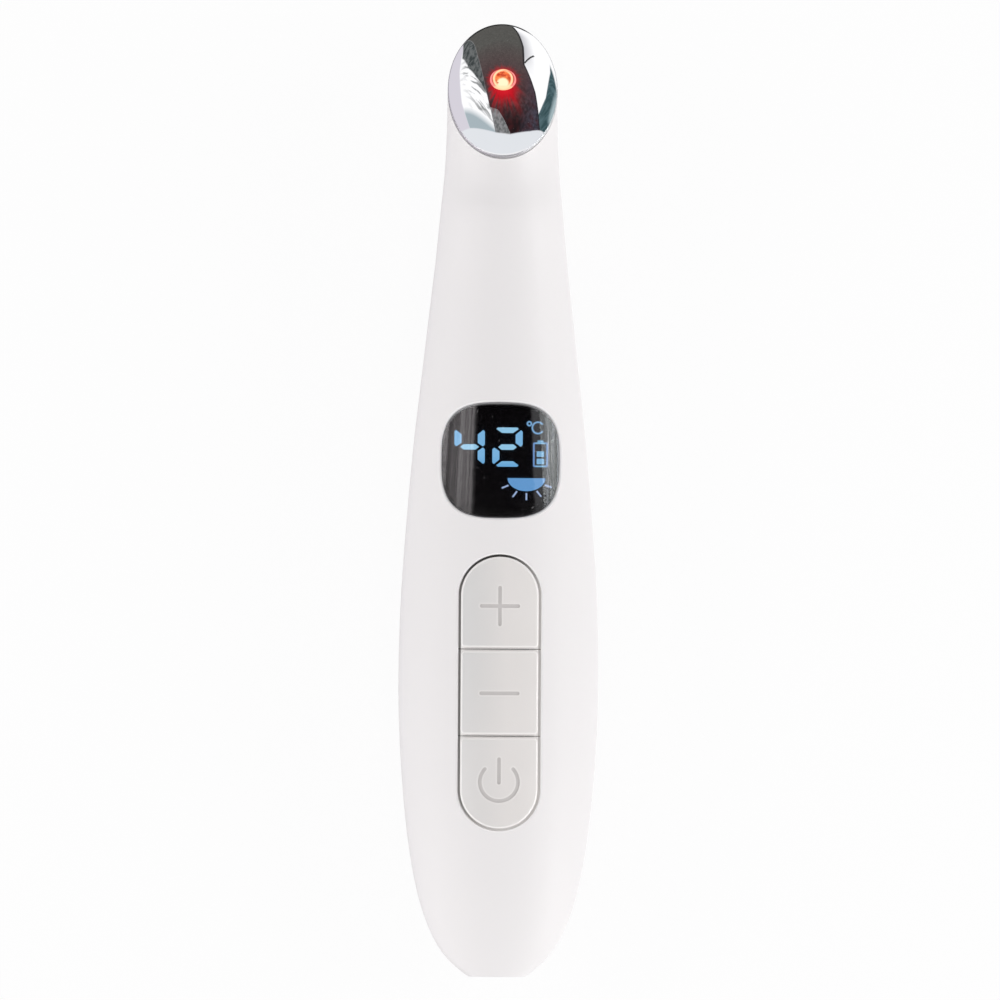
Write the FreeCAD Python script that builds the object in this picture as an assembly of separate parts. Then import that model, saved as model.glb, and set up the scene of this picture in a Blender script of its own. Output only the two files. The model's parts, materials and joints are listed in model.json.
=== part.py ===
# Heated eye massager wand, lying on its back.
# Millimetres. +X runs across the wand, +Y from the tail to the massage head, +Z out of the front face.
# The origin is on the surface it rests on, under the middle of its outline.

import FreeCAD, Part
import math
import os

Vec = FreeCAD.Vector

# ---------------------------------------------------------------- casing
body_length = 145.0
body_width = 30.4
body_depth = 22.0  # highest point of the front face above the table, between tail and neck
rest_land_depth = 0.25  # how far the flat land on the back is cut into the rounded form
wall = 1.8
tail_edge_radius = 0.3

# Outline of the grip, from the tail to the neck's end. Each row holds the share of that length, the
# half width as a share of half the body width, and the back and front lines as shares of the depth.
grip_outline = [
    (0.000, 0.283, 0.339, 0.645),
    (0.020, 0.474, 0.263, 0.726),
    (0.050, 0.637, 0.187, 0.799),
    (0.100, 0.783, 0.101, 0.883),
    (0.177, 0.898, 0.029, 0.955),
    (0.280, 0.974, 0.002, 0.991),
    (0.364, 1.000, 0.000, 1.000),
    (0.435, 0.995, 0.000, 0.999),
    (0.483, 0.983, 0.000, 0.996),
    (0.589, 0.928, 0.009, 0.982),
    (0.692, 0.859, 0.061, 0.973),
    (0.795, 0.768, 0.146, 0.982),
    (0.847, 0.724, 0.192, 0.996),
    (0.898, 0.678, 0.240, 1.018),
    (1.000, 0.599, 0.330, 1.085),
]
grip_sections = 20
section_crowding = 1.5  # sections lie closer at the tail as this grows
closest_share = 0.008  # least distance between two sections, as a share of the grip
section_points = 16
lean_start = 0.80  # share of the grip where its sections start to lean

# Parting of the two shells
seam_gap = 0.12
film_gap = 0.03  # above and below the lens's tape, between curved faces
parting_points = 12  # along the grip
parting_overrun = 10.0  # past the tail
lip_height = 1.2
lip_thickness = 0.8
lip_clearance = 0.10

# ---------------------------------------------------------------- massage head
head_tilt = 35.0  # degrees between the plate's normal and +Z
neck_lean = 8.0  # degrees that the neck leans to the front at its end
head_height = 17.7  # centre of the head's rim above the table
head_reach = 16.4  # from the neck's end to the centre of the head's rim, along Y
head_sections = 5
heel_roundness = 2.0  # the head's back stays lower for longer as this grows
toe_roundness = 1.5  # the same for the side where the head bends to the front
plate_half_length = 12.4
plate_half_width = 8.35
plate_edge_height = 0.40
plate_dome_height = 2.80
plate_thickness = 0.80
gasket_thickness = 0.35
gasket_inset = 0.20
gasket_width = 1.20
heater_thickness = 0.20
heater_gap = 0.04  # for the glue between the film and the plate
lens_hole_radius = 2.00
led_lens_clearance = 0.05
led_lens_flange_radius = 2.50
led_lens_flange_thickness = 0.50
led_lens_flange_clearance = 0.10  # to the hole in the heating film
led_lens_flange_depth = 0.35  # below the heating film
led_lens_proud = 0.20
led_width = 2.8
led_length = 3.5
led_thickness = 0.9
led_board_radius = 4.2
led_board_thickness = 0.8
carrier_depth = 2.5
carrier_clearance = 0.15
carrier_hole_radius = 2.6  # for the leads
thermistor_radius = 0.8
thermistor_length = 1.9
thermistor_offset = 6.5

# ---------------------------------------------------------------- display
window_from_tail = 78.6
window_width = 17.8
window_length = 17.4
window_power = 3.0  # exponent of the window's rounded square
window_points = 32
window_clearance = 0.08
window_ledge = 0.50
window_bevel = 0.30
lens_thickness = 1.20
lens_sink = 0.10
tape_thickness = 0.10
display_clearance = 0.12
display_gap = 0.10
readout_thickness = 0.20
readout_gap = 0.02

readout_drawn_for = (17.8, 17.4)  # the window that the next sizes fit; another one scales them
digit_height = 5.95
digit_width = 4.60
digit_bar_stroke = 0.83  # top, middle and bottom bars
digit_post_stroke = 1.07  # upright bars
digit_rise = 2.00  # digits' centre above the window's centre, along Y
first_digit_x = -4.72
second_digit_x = 1.03
bar_inset = 0.60  # from the digit's side to the long edge of its top and bottom bars
post_inset = 0.40  # from the digit's top to the long edge of its upright bars
post_foot = 0.12  # from the digit's middle to the near end of its upright bars
bar_slant = 0.86
bar_corner = 0.23  # cut off the outer corners of the top and bottom bars
post_corner = 0.24  # the same for the upright bars
post_head_slant = 0.68
post_foot_slant = 0.50
middle_bar_inset = 0.88
middle_bar_point = 0.52
icon_stroke = 0.25
degree_centre = (4.34, 5.58)
degree_radius = 0.42
celsius_centre = (5.66, 4.95)
celsius_radius = 0.99
celsius_opening = 70.0  # degrees left open at the right of the letter
battery_icon_centre = (6.06, 0.86)
battery_icon_size = (2.28, 3.76)
battery_icon_nub = (0.90, 0.30)
battery_icon_bar = (1.15, 0.85)
battery_icon_bar_rises = (0.11, -1.01)  # centres of the two bars above the icon's centre
lamp_icon_centre = (3.95, -2.70)
lamp_icon_radius = (2.88, 1.98)
lamp_ray_angles = (202.0, 234.0, 270.0, 309.0, 340.0)
lamp_ray_gap = 0.27
lamp_ray_length = 1.10

# ---------------------------------------------------------------- keys
slot_from_tail = 43.3
slot_width = 12.5
slot_length = 42.0
slot_edge_radius = 0.25
key_side_gap = 0.35
key_gap = 0.50  # between two neighbouring keys at their face
key_step_gap = 0.10  # between them below the step
key_step_depth = 0.70  # from the face down to the step
key_corner_radius = 0.60
key_centre_length = 13.2  # the middle key, from the centre of one gap to the centre of the other
key_proud = 0.20
key_edge_radius = 0.35
key_travel = 0.40
key_flange_reach = 0.80
key_flange_thickness = 0.80
key_flange_gap = 0.15
key_skin = 1.50
key_post_radius = 1.7
symbol_depth = 0.15
symbol_stroke = 0.55
symbol_corner = 0.26
symbol_arm = 6.10
symbol_shifts = (0.26, -0.09, -0.63)  # from the middle of the power, minus and plus key
power_ring_radius = 3.17
power_ring_opening = 95.0  # degrees left open at the top of the ring
power_bar_length = 4.1

# ---------------------------------------------------------------- electronics
board_thickness = 1.2
board_height = 11.0  # underside of the main board
board_start = 16.0  # from the tail
board_to_motor = 8.0  # from the board's end to the motor's can
board_side_clearance = 1.2
board_corner_radius = 1.5
switch_size = 6.0
switch_height = 3.4
switch_stem_radius = 1.7
switch_stem_clearance = 0.10
switch_stem_hidden = 1.0
switch_stem_exposed = 1.1
switch_stem_spare = 0.3  # left under the stem when its key is fully down
chip_size = 7.0
chip_thickness = 1.0
chip_chamfer = 0.12
chip_from_tail = 77.0
chip_leads_per_side = 8
chip_lead_pitch = 0.8
chip_lead_reach = 1.0
chip_lead_thickness = 0.20

boss_radius = 2.0
screw_radius = 0.75
screw_length = 5.0
screw_tip_gap = 0.3
screw_thread_gap = 0.05
screw_head_radius = 1.5
screw_head_height = 0.8
screw_drive_width = 0.5
screw_drive_length = 1.8
screw_hole_clearance = 0.20
front_boss_from_tail = 18.8
rear_boss_from_tail = 67.6
rear_boss_spacing = 11.0

battery_width = 14.0
battery_length = 36.0
battery_thickness = 5.5
battery_from_tail = 40.5
battery_height = 3.9  # underside of the cell
battery_edge_radius = 1.4
battery_tape_thickness = 0.3
cradle_rib_thickness = 1.2
cradle_side_clearance = 0.25
cradle_rib_stations = (-12.0, 0.0, 12.0)  # along Y from the cell's centre
cradle_side_height = 3.0
lead_radius = 0.5
thin_lead_radius = 0.4
lead_spacing = 2.4
plug_size = (5.6, 3.4, 2.2)
plug_from_tail = 64.8

# ---------------------------------------------------------------- charging socket
port_width = 7.5
port_height = 2.45
port_corner = 0.85
port_depth = 5.4
port_sheet = 0.25
port_recess = 0.5
port_clearance = 0.10
tongue_width = 3.7
tongue_thickness = 0.6
tongue_recess = 1.0
contact_recess = 1.2
contact_count = 5
contact_pitch = 0.65
contact_width = 0.30
charge_board_start = 3.6
charge_board_end = 13.6
charge_board_width = 9.6
charge_board_thickness = 1.0
charge_lead_inset = 2.4  # from the ends of the two boards it joins
charge_lead_rise = 4.0  # above the charging board
charge_lead_drop = 3.0  # down to the main board

# ---------------------------------------------------------------- vibration motor
motor_radius = 3.0
motor_length = 10.0
motor_before_neck = 17.0  # from the can's rear end to the neck's end
motor_drop = 1.25  # axis below the middle of the neck
motor_sheet = 0.3
motor_cap_length = 1.2
motor_plug_length = 0.9
motor_lead_inset = 1.7  # from the board's end
motor_lead_rise = 3.2  # above the board
shaft_radius = 0.4
shaft_clearance = 0.03
shaft_length = 6.0  # outside the can
armature_radius = 2.2
armature_length = 6.5
weight_radius = 2.7
weight_length = 4.0
weight_gap = 0.8
boot_thickness = 0.8
boot_length = 7.5
saddle_thickness = 1.2
saddle_clearance = 0.05

# Leads from the head to the board, over the motor
head_lead_straight = 4.5  # straight down from the light's board
head_lead_gap = 1.5  # above and before the motor
head_lead_inset = 3.2  # from the board's end
head_lead_arch = 0.3
head_lead_sag = 0.6
led_lead_x = 0.5
heater_lead_x = 1.5

far = 60.0  # larger than any section of the wand
tail = -body_length / 2


# ---------------------------------------------------------------- plain helpers
def from_tail(distance):
    return tail + distance


def box(x0, x1, y0, y1, z0, z1):
    return Part.makeBox(x1 - x0, y1 - y0, z1 - z0, Vec(x0, y0, z0))


def block(width, length, height, x, y, z):
    """A box centred on x and y, standing on z."""
    return box(x - width / 2, x + width / 2, y - length / 2, y + length / 2, z, z + height)


def cylinder(radius, length, base, axis=Vec(0, 0, 1)):
    return Part.makeCylinder(radius, length, base, axis)


def prism(wire, z0, z1):
    """A flat closed wire in the plane z = 0, as a solid from z0 to z1."""
    face = Part.Face(wire)
    face.translate(Vec(0, 0, z0))
    return face.extrude(Vec(0, 0, z1 - z0))


def polygon(points):
    corners = [Vec(x, y, 0) for x, y in points]
    return Part.makePolygon(corners + [corners[0]])


def rounded_rectangle(width, length, radius, x=0.0, y=0.0):
    """Closed wire round a rectangle with round corners, centred on x and y."""
    w = width / 2
    l = length / 2
    k = radius * (1 - math.sqrt(0.5))
    edges = []
    corners = ((w, l), (-w, l), (-w, -l), (w, -l))
    for number, (cx, cy) in enumerate(corners):
        sx = math.copysign(1, cx)
        sy = math.copysign(1, cy)
        on_side = Vec(x + cx, y + cy - sy * radius, 0)
        middle = Vec(x + cx - sx * k, y + cy - sy * k, 0)
        on_end = Vec(x + cx - sx * radius, y + cy, 0)
        first, last = (on_side, on_end) if number % 2 == 0 else (on_end, on_side)
        edges.append(Part.Arc(first, middle, last).toShape())
    outline = []
    for number, edge in enumerate(edges):
        outline.append(edge)
        following = edges[(number + 1) % 4]
        start = edge.Vertexes[-1].Point
        end = following.Vertexes[0].Point
        if start.distanceToPoint(end) > 1e-6:
            outline.append(Part.LineSegment(start, end).toShape())
    return Part.Wire(outline)


def closed_spline(points):
    count = len(points)
    curve = Part.BSplineCurve()
    curve.interpolate(
        Points=points, PeriodicFlag=True, Parameters=[i / count for i in range(count + 1)]
    )
    return Part.Wire([curve.toShape()])


def stadium(width, length, x, y):
    """Closed wire round a slot with round ends."""
    radius = width / 2
    reach = length / 2 - radius
    right_top = Vec(x + radius, y + reach, 0)
    left_top = Vec(x - radius, y + reach, 0)
    right_low = Vec(x + radius, y - reach, 0)
    left_low = Vec(x - radius, y - reach, 0)
    top = Part.Arc(right_top, Vec(x, y + reach + radius, 0), left_top).toShape()
    low = Part.Arc(left_low, Vec(x, y - reach - radius, 0), right_low).toShape()
    left = Part.LineSegment(left_top, left_low).toShape()
    right = Part.LineSegment(right_low, right_top).toShape()
    return Part.Wire([top, left, low, right])


def ring(outer, inner, z0, z1):
    return prism(outer, z0, z1).cut(prism(inner, z0 - 1, z1 + 1))


def edges_where(shape, test):
    """Edges whose sampled points all pass the test."""
    found = []
    for edge in shape.Edges:
        points = edge.discretize(6)
        if all(test(p) for p in points):
            found.append(edge)
    return found


def rounded_path(points, radius_share=0.45):
    """Straight runs joined by arcs, each as large as its two runs allow."""
    edges = []
    start = points[0]
    for before, corner, after in zip(points, points[1:], points[2:]):
        into = corner - before
        out = after - corner
        reach = radius_share * min(into.Length, out.Length)
        into.normalize()
        out.normalize()
        half_turn = into.getAngle(out) / 2
        radius = reach / math.tan(half_turn)
        first = corner - into * reach
        last = corner + out * reach
        inward = out - into
        inward.normalize()
        middle = corner + inward * (radius / math.cos(half_turn) - radius)
        edges.append(Part.LineSegment(start, first).toShape())
        edges.append(Part.Arc(first, middle, last).toShape())
        start = last
    edges.append(Part.LineSegment(start, points[-1]).toShape())
    return Part.Wire(edges)


def wire_solid(points, radius):
    """A round wire along straight runs and arcs."""
    path = rounded_path(points)
    direction = points[1] - points[0]
    profile = Part.Wire([Part.makeCircle(radius, points[0], direction)])
    return path.makePipeShell([profile], True, False)


def write(node, shape):
    shape.exportStep("parts/" + node + ".step")


# ---------------------------------------------------------------- outer form
plate_edge_top = gasket_thickness + plate_edge_height
plate_y = (
    body_length / 2
    - plate_half_length * math.cos(math.radians(head_tilt))
    - plate_edge_top * math.sin(math.radians(head_tilt))
)
plate_centre = Vec(0, plate_y, head_height)
neck_y = plate_y - head_reach
grip_length = neck_y - tail

grip_curve = Part.BSplineCurve()
grip_curve.interpolate(
    Points=[Vec(w, b, f) for _, w, b, f in grip_outline],
    Parameters=[share for share, _, _, _ in grip_outline],
)


def grip_at(y):
    """Half width, back line and front line of the outside of the grip at y."""
    shares = grip_curve.value((y - tail) / grip_length)
    full_depth = body_depth + rest_land_depth
    back = shares.y * full_depth - rest_land_depth
    front = shares.z * full_depth - rest_land_depth
    return shares.x * body_width / 2, back, front


def middle_height(y):
    _, back, front = grip_at(y)
    return (back + front) / 2


def surface_height(x, y, inset=0.0):
    """Height of the front face at x and y, moved inwards by inset."""
    half_width, back, front = grip_at(y)
    reach = math.sqrt(1 - (x / (half_width - inset)) ** 2)
    return (back + front) / 2 + ((front - back) / 2 - inset) * reach


def inner_half_width(y, z):
    """Half width of the hollow at y and z."""
    half_width, back, front = grip_at(y)
    rise = (z - (back + front) / 2) / ((front - back) / 2 - wall)
    return (half_width - wall) * math.sqrt(1 - rise**2)


def section(y, z, half_width, half_depth, lean):
    """An elliptical section whose plane leans to the front by lean degrees."""
    sine = math.sin(math.radians(lean))
    cosine = math.cos(math.radians(lean))
    points = []
    for number in range(section_points):
        angle = 2 * math.pi * number / section_points
        up = -half_depth * math.cos(angle)
        points.append(Vec(half_width * math.sin(angle), y - up * sine, z + up * cosine))
    return closed_spline(points)


def fan_pivot():
    """Where the plane of the neck's end meets the plane of the head's rim, seen from the side."""
    lean = math.radians(neck_lean)
    tilt = math.radians(head_tilt)
    along_y = plate_centre.y - neck_y
    along_z = plate_centre.z - middle_height(neck_y)
    neck_direction = (-math.sin(lean), math.cos(lean))
    rim_direction = (-math.cos(tilt), math.sin(tilt))
    cross = neck_direction[0] * rim_direction[1] - neck_direction[1] * rim_direction[0]
    reach = (along_y * rim_direction[1] - along_z * rim_direction[0]) / cross
    return (
        neck_y + reach * neck_direction[0],
        middle_height(neck_y) + reach * neck_direction[1],
        reach,
    )


def head_section_at(step, inset=0.0):
    """Centre and half sizes of a head section; step runs from 0 at the neck to 1 at the rim."""
    pivot_y, pivot_z, neck_reach = fan_pivot()
    rim_reach = math.hypot(plate_centre.y - pivot_y, plate_centre.z - pivot_z)
    neck_half_width, back, front = grip_at(neck_y)
    neck_half_depth = (front - back) / 2
    near_start = neck_reach - neck_half_depth
    near_end = rim_reach - plate_half_length
    far_start = neck_reach + neck_half_depth
    far_end = rim_reach + plate_half_length
    near = near_start + (near_end - near_start) * step**toe_roundness
    away = far_start + (far_end - far_start) * step**heel_roundness
    lean = neck_lean + (90 - head_tilt - neck_lean) * step
    half_width = plate_half_width + (neck_half_width - plate_half_width) * (1 - step) ** 2
    centre = (near + away) / 2
    y = pivot_y + centre * math.sin(math.radians(lean))
    z = pivot_z - centre * math.cos(math.radians(lean))
    return y, z, half_width - inset, (away - near) / 2 - inset, lean


def casing_form(inset=0.0):
    """The outside of the casing, moved inwards by inset, from the tail to the head's rim."""
    start = inset / grip_length
    shares = [(number / grip_sections) ** section_crowding for number in range(grip_sections + 1)]
    kept = [start] + [share for share in shares if share > start + closest_share]
    sections = []
    for share in kept:
        y = tail + share * grip_length
        half_width, back, front = grip_at(y)
        lean = neck_lean * max(0.0, (share - lean_start) / (1 - lean_start)) ** 2
        middle = (back + front) / 2
        sections.append(section(y, middle, half_width - inset, (front - back) / 2 - inset, lean))
    for number in range(1, head_sections + 1):
        sections.append(section(*head_section_at(number / head_sections, inset)))
    return Part.makeLoft(sections, True, False, False, 5)


outer_form = casing_form()
tail_edges = edges_where(outer_form, lambda p: abs(p.y - tail) < 1e-4)
rounded_form = outer_form.makeFillet(tail_edge_radius, tail_edges)
hollow_form = casing_form(wall)


def lowered(amount):
    """The outer form moved down by an amount, for skins that follow the front face."""
    form = outer_form.copy()
    form.translate(Vec(0, 0, -amount))
    return form


def region_below(offset):
    """Everything below the parting surface, which is raised by offset."""
    start = tail - parting_overrun
    points = [Vec(0, start, middle_height(tail) + offset)]
    for number in range(parting_points):
        y = tail + grip_length * number / parting_points
        points.append(Vec(0, y, middle_height(y) + offset))
    for number in range(head_sections + 1):
        y, z, _, _, _ = head_section_at(number / head_sections)
        points.append(Vec(0, y, z + offset))
    last = points[-1] + (points[-1] - points[-2]) * 3
    points.append(last)
    curve = Part.BSplineCurve()
    curve.interpolate(points)
    corners = [last, Vec(0, far + body_length, last.z), Vec(0, far + body_length, -far)]
    corners += [Vec(0, start, -far), points[0]]
    outline = Part.Wire([curve.toShape()] + Part.makePolygon(corners).Edges)
    face = Part.Face(outline)
    face.translate(Vec(-far, 0, 0))
    return face.extrude(Vec(2 * far, 0, 0))


# ---------------------------------------------------------------- places shared by several pieces
window_y = from_tail(window_from_tail)
slot_y = from_tail(slot_from_tail)
board_top = board_height + board_thickness
port_height_centre = middle_height(tail)
motor_y = neck_y - motor_before_neck
motor_end = motor_y + motor_length
motor_height = middle_height(motor_y + motor_length / 2) - motor_drop
board_low = from_tail(board_start)
board_high = motor_y - board_to_motor
boss_places = [
    (0.0, from_tail(front_boss_from_tail)),
    (-rear_boss_spacing / 2, from_tail(rear_boss_from_tail)),
    (rear_boss_spacing / 2, from_tail(rear_boss_from_tail)),
]


def window_outline(grow, height=None):
    """Rounded square of the display window, grown by a distance; height gives z at each x and y."""
    points = []
    for number in range(window_points):
        angle = 2 * math.pi * (number + 0.5) / window_points
        cosine = math.cos(angle)
        sine = math.sin(angle)
        across = math.copysign(abs(cosine) ** (2 / window_power), cosine)
        along = math.copysign(abs(sine) ** (2 / window_power), sine)
        x = across * (window_width / 2 + grow)
        y = window_y + along * (window_length / 2 + grow)
        points.append(Vec(x, y, height(x, y) if height else 0))
    return closed_spline(points)


def window_pocket():
    """The space the lens goes into, down to its ledge, flared by a bevel where it meets the face."""

    def beside_face(offset):
        return lambda x, y: surface_height(x, y) + offset

    rings = [
        window_outline(window_clearance, lambda x, y: board_top),
        window_outline(window_clearance, beside_face(-window_bevel)),
        window_outline(window_clearance + 2 * window_bevel, beside_face(window_bevel)),
        window_outline(window_clearance + 2 * window_bevel, lambda x, y: far),
    ]
    faces = [Part.Face(rings[0]), Part.Face(rings[-1])]
    for lower, upper in zip(rings, rings[1:]):
        faces.append(Part.makeRuledSurface(lower.Edges[0], upper.Edges[0]))
    shell = Part.makeShell(faces)
    shell.sewShape()
    pocket = Part.makeSolid(shell)
    return pocket.cut(lowered(lens_sink + lens_thickness + tape_thickness))


def port_outline(grow):
    """Outline of the socket's mouth, wide side up, in the plane across the wand."""
    w = port_width / 2 + grow
    h = port_height / 2 + grow
    points = [
        (-w, h),
        (w, h),
        (w, -h + port_corner),
        (w - port_corner, -h),
        (-w + port_corner, -h),
        (-w, -h + port_corner),
    ]
    corners = [Vec(x, 0, port_height_centre + z) for x, z in points]
    return Part.makePolygon(corners + [corners[0]])


def port_prism(grow, y0, y1):
    face = Part.Face(port_outline(grow))
    face.translate(Vec(0, y0, 0))
    return face.extrude(Vec(0, y1 - y0, 0))


# ---------------------------------------------------------------- keys: shared sizes
key_names = ("power", "minus", "plus")
slot_low = slot_y - slot_length / 2
slot_high = slot_y + slot_length / 2
slot_arc_low = slot_low + slot_width / 2
slot_arc_high = slot_high - slot_width / 2
flange_half_width = slot_width / 2 + key_flange_reach
key_flange_top = (
    min(surface_height(flange_half_width, y, wall) for y in (slot_arc_low, slot_arc_high))
    - key_flange_gap
)
key_flange_bottom = key_flange_top - key_flange_thickness
stem_top = board_top + switch_height + switch_stem_exposed
key_spans = (
    (slot_low, slot_y - key_centre_length / 2),
    (slot_y - key_centre_length / 2, slot_y + key_centre_length / 2),
    (slot_y + key_centre_length / 2, slot_high),
)


def slot_prism(grow, z0, z1):
    outline = stadium(slot_width + 2 * grow, slot_length + 2 * grow, 0, slot_y)
    return prism(outline, z0, z1)


def key_slab(number, gap):
    """The stretch of the slot that belongs to one key, without its share of the gaps."""
    low, high = key_spans[number]
    low = low + gap / 2 if number > 0 else low - far
    high = high - gap / 2 if number < 2 else high + far
    return box(-far, far, low, high, -far, far)


def key_middle(number):
    low, high = key_spans[number]
    return (low + high) / 2


# ---------------------------------------------------------------- shells
def make_front_shell():
    groove_form = casing_form(wall - lip_thickness - lip_clearance)
    lip_top = lip_height + lip_clearance
    shell = rounded_form.cut(region_below(seam_gap))
    shell = shell.fuse(make_bosses())
    shell = shell.fuse(make_window_collar())
    shell = shell.cut(hollow_form.cut(make_bosses()).cut(make_window_collar()))
    groove = groove_form.common(region_below(lip_top))
    shell = shell.cut(groove)
    shell = shell.cut(slot_prism(0, key_flange_top, far))
    shell = shell.cut(prism(window_outline(-window_ledge), board_top, far))
    shell = shell.cut(window_pocket())
    shell = shell.cut(port_prism(port_clearance, tail - 1, tail + 3 * wall))
    for x, y in boss_places:
        pilot_depth = screw_length - board_thickness + screw_tip_gap
        shell = shell.cut(cylinder(screw_radius, pilot_depth, Vec(x, y, board_top)))
    shell = shell.Solids[0]
    return shell.makeFillet(slot_edge_radius, edges_where(shell, on_slot_rim))


def on_slot_rim(point):
    """Whether a point lies on the edge where the key slot breaks through the front face."""
    beyond = max(0.0, abs(point.y - slot_y) - (slot_length - slot_width) / 2)
    on_outline = abs(math.hypot(point.x, beyond) - slot_width / 2) < 1e-3
    return on_outline and abs(point.z - surface_height(point.x, point.y)) < key_proud


def make_bosses():
    """Screw bosses that hang from the front face down to the board."""
    posts = [cylinder(boss_radius, far, Vec(x, y, board_top)) for x, y in boss_places]
    return posts[0].multiFuse(posts[1:]).common(casing_form(wall / 2))


def make_window_collar():
    """A low wall round the window that carries the ledge under the lens."""
    low = surface_height(window_width / 2, window_y) - lens_sink - lens_thickness - wall
    walls = prism(window_outline(wall / 2), low, far)
    return walls.common(casing_form(wall / 2))


def make_back_shell():
    lip_form = casing_form(wall - lip_thickness)
    shell = rounded_form.common(region_below(0))
    lip = lip_form.common(region_below(lip_height).cut(region_below(-wall)))
    shell = shell.fuse(lip)
    ribs = make_cradle_ribs().multiFuse([make_motor_saddles()])
    shell = shell.cut(hollow_form.cut(ribs))
    shell = shell.cut(port_prism(port_clearance, tail - 1, tail + 3 * wall))
    table = box(-far, far, -body_length, body_length, -far, 0)
    return shell.cut(table)


def make_cradle_ribs():
    """Ribs across the back shell that carry the battery and stop it sideways."""
    cell_half = battery_width / 2 + cradle_side_clearance
    seat = battery_height - battery_tape_thickness
    y_cell = from_tail(battery_from_tail)
    ribs = []
    for offset in cradle_rib_stations:
        rib = block(body_width, cradle_rib_thickness, seat + cradle_side_height, 0, y_cell + offset, 0)
        opening = box(-cell_half, cell_half, -far, far, seat, far)
        ribs.append(rib.cut(opening))
    return ribs[0].multiFuse(ribs[1:]).common(casing_form(wall / 2))


def make_motor_saddles():
    """Two saddles in the neck that hold the motor's boot."""
    seat_radius = motor_radius + boot_thickness + saddle_clearance
    middle = motor_y + motor_length / 2
    reach = boot_length / 2 - saddle_thickness
    seat = motor_cylinder(seat_radius, tail, body_length)
    saddles = []
    for y in (middle - reach, middle + reach):
        saddle = block(body_width, saddle_thickness, motor_height, 0, y, 0)
        saddles.append(saddle.cut(seat))
    return saddles[0].multiFuse(saddles[1:]).common(casing_form(wall / 2))


# ---------------------------------------------------------------- display pieces
def window_prism(grow):
    return prism(window_outline(grow), board_top, far)


def skin_layer(outline_solid, upper, lower):
    """The part of a solid between two depths below the front face."""
    return outline_solid.common(lowered(upper)).cut(lowered(lower))


lens_bottom = lens_sink + lens_thickness
readout_top = lens_bottom + display_gap
readout_bottom = readout_top + readout_thickness
readout_layer = skin_layer(window_prism(-window_ledge), readout_top, readout_bottom)
readout_scale = min(
    window_width / readout_drawn_for[0],
    window_length / readout_drawn_for[1],
)


def make_window_lens():
    return skin_layer(window_prism(0), lens_sink, lens_bottom)


def make_window_tape():
    band = window_prism(0).cut(window_prism(-window_ledge))
    return skin_layer(band, lens_bottom + film_gap, lens_bottom + tape_thickness - film_gap)


def make_display_module():
    body = window_prism(-window_ledge - display_clearance)
    return body.common(lowered(readout_bottom + readout_gap))


def digit_bars(lit):
    """Outlines of the lit bars of one digit, round its centre."""
    w = digit_width / 2
    h = digit_height / 2
    long_half = w - bar_inset
    flat_half = w - middle_bar_inset - middle_bar_point
    top = [(-long_half, h - bar_corner), (-long_half + bar_corner, h)]
    top += [(long_half - bar_corner, h), (long_half, h - bar_corner)]
    low = h - digit_bar_stroke
    top += [(long_half - bar_slant, low), (-long_half + bar_slant, low)]
    head = h - post_inset
    post = [(w - post_corner, head), (w, head - post_corner), (w, post_foot + post_corner)]
    inner = w - digit_post_stroke
    post += [(w - post_corner, post_foot), (w - digit_post_stroke / 3, post_foot)]
    post += [(inner, post_foot + post_foot_slant), (inner, head - post_head_slant)]
    k = digit_bar_stroke / 2
    middle = [(-flat_half, k), (flat_half, k), (flat_half + middle_bar_point, 0)]
    middle += [(flat_half, -k), (-flat_half, -k), (-flat_half - middle_bar_point, 0)]
    bars = {
        "top": top,
        "bottom": [(x, -y) for x, y in top],
        "middle": middle,
        "upper_right": post,
        "upper_left": [(-x, y) for x, y in post],
        "lower_right": [(x, -y) for x, y in post],
        "lower_left": [(-x, -y) for x, y in post],
    }
    return [bars[name] for name in lit]


def on_display(solid):
    """A solid drawn round the window's centre, scaled to the window and cut to the readout."""
    scaled = solid.copy()
    scaled.scale(readout_scale)
    scaled.translate(Vec(0, window_y, 0))
    return scaled.common(readout_layer)


def readout_piece(outline):
    return on_display(prism(outline, 0, far))


def make_display_digits():
    four = ("upper_left", "middle", "upper_right", "lower_right")
    two = ("top", "upper_right", "middle", "lower_left", "bottom")
    pieces = []
    for x, lit in ((first_digit_x, four), (second_digit_x, two)):
        for bar in digit_bars(lit):
            moved = [(x + px, digit_rise + py) for px, py in bar]
            pieces.append(readout_piece(polygon(moved)))
    return Part.makeCompound(pieces)


def circle_wire(radius, x, y):
    return Part.Wire([Part.makeCircle(radius, Vec(x, y, 0))])


def stroke_ring(radius, x, y):
    """A ring of the icons' stroke, radius measured to its outside."""
    outer = circle_wire(radius, x, y)
    inner = circle_wire(radius - icon_stroke, x, y)
    return ring(outer, inner, 0, far)


def turned_bar(width, x0, y0, x1, y1):
    """Outline of a straight bar from one point to another."""
    length = math.hypot(x1 - x0, y1 - y0)
    side_x = (y1 - y0) / length * width / 2
    side_y = -(x1 - x0) / length * width / 2
    return polygon(
        [
            (x0 + side_x, y0 + side_y),
            (x1 + side_x, y1 + side_y),
            (x1 - side_x, y1 - side_y),
            (x0 - side_x, y0 - side_y),
        ]
    )


def make_degree_sign():
    ring_sign = on_display(stroke_ring(degree_radius, *degree_centre))
    x, y = celsius_centre
    letter = stroke_ring(celsius_radius, x, y)
    half = math.radians(celsius_opening / 2)
    reach = 3 * celsius_radius
    opening = [(0, 0), (reach * math.cos(half), -reach * math.sin(half))]
    opening += [(reach * math.cos(half), reach * math.sin(half))]
    moved = [(x + px, y + py) for px, py in opening]
    return [ring_sign, on_display(letter.cut(prism(polygon(moved), -1, far + 1)))]


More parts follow.
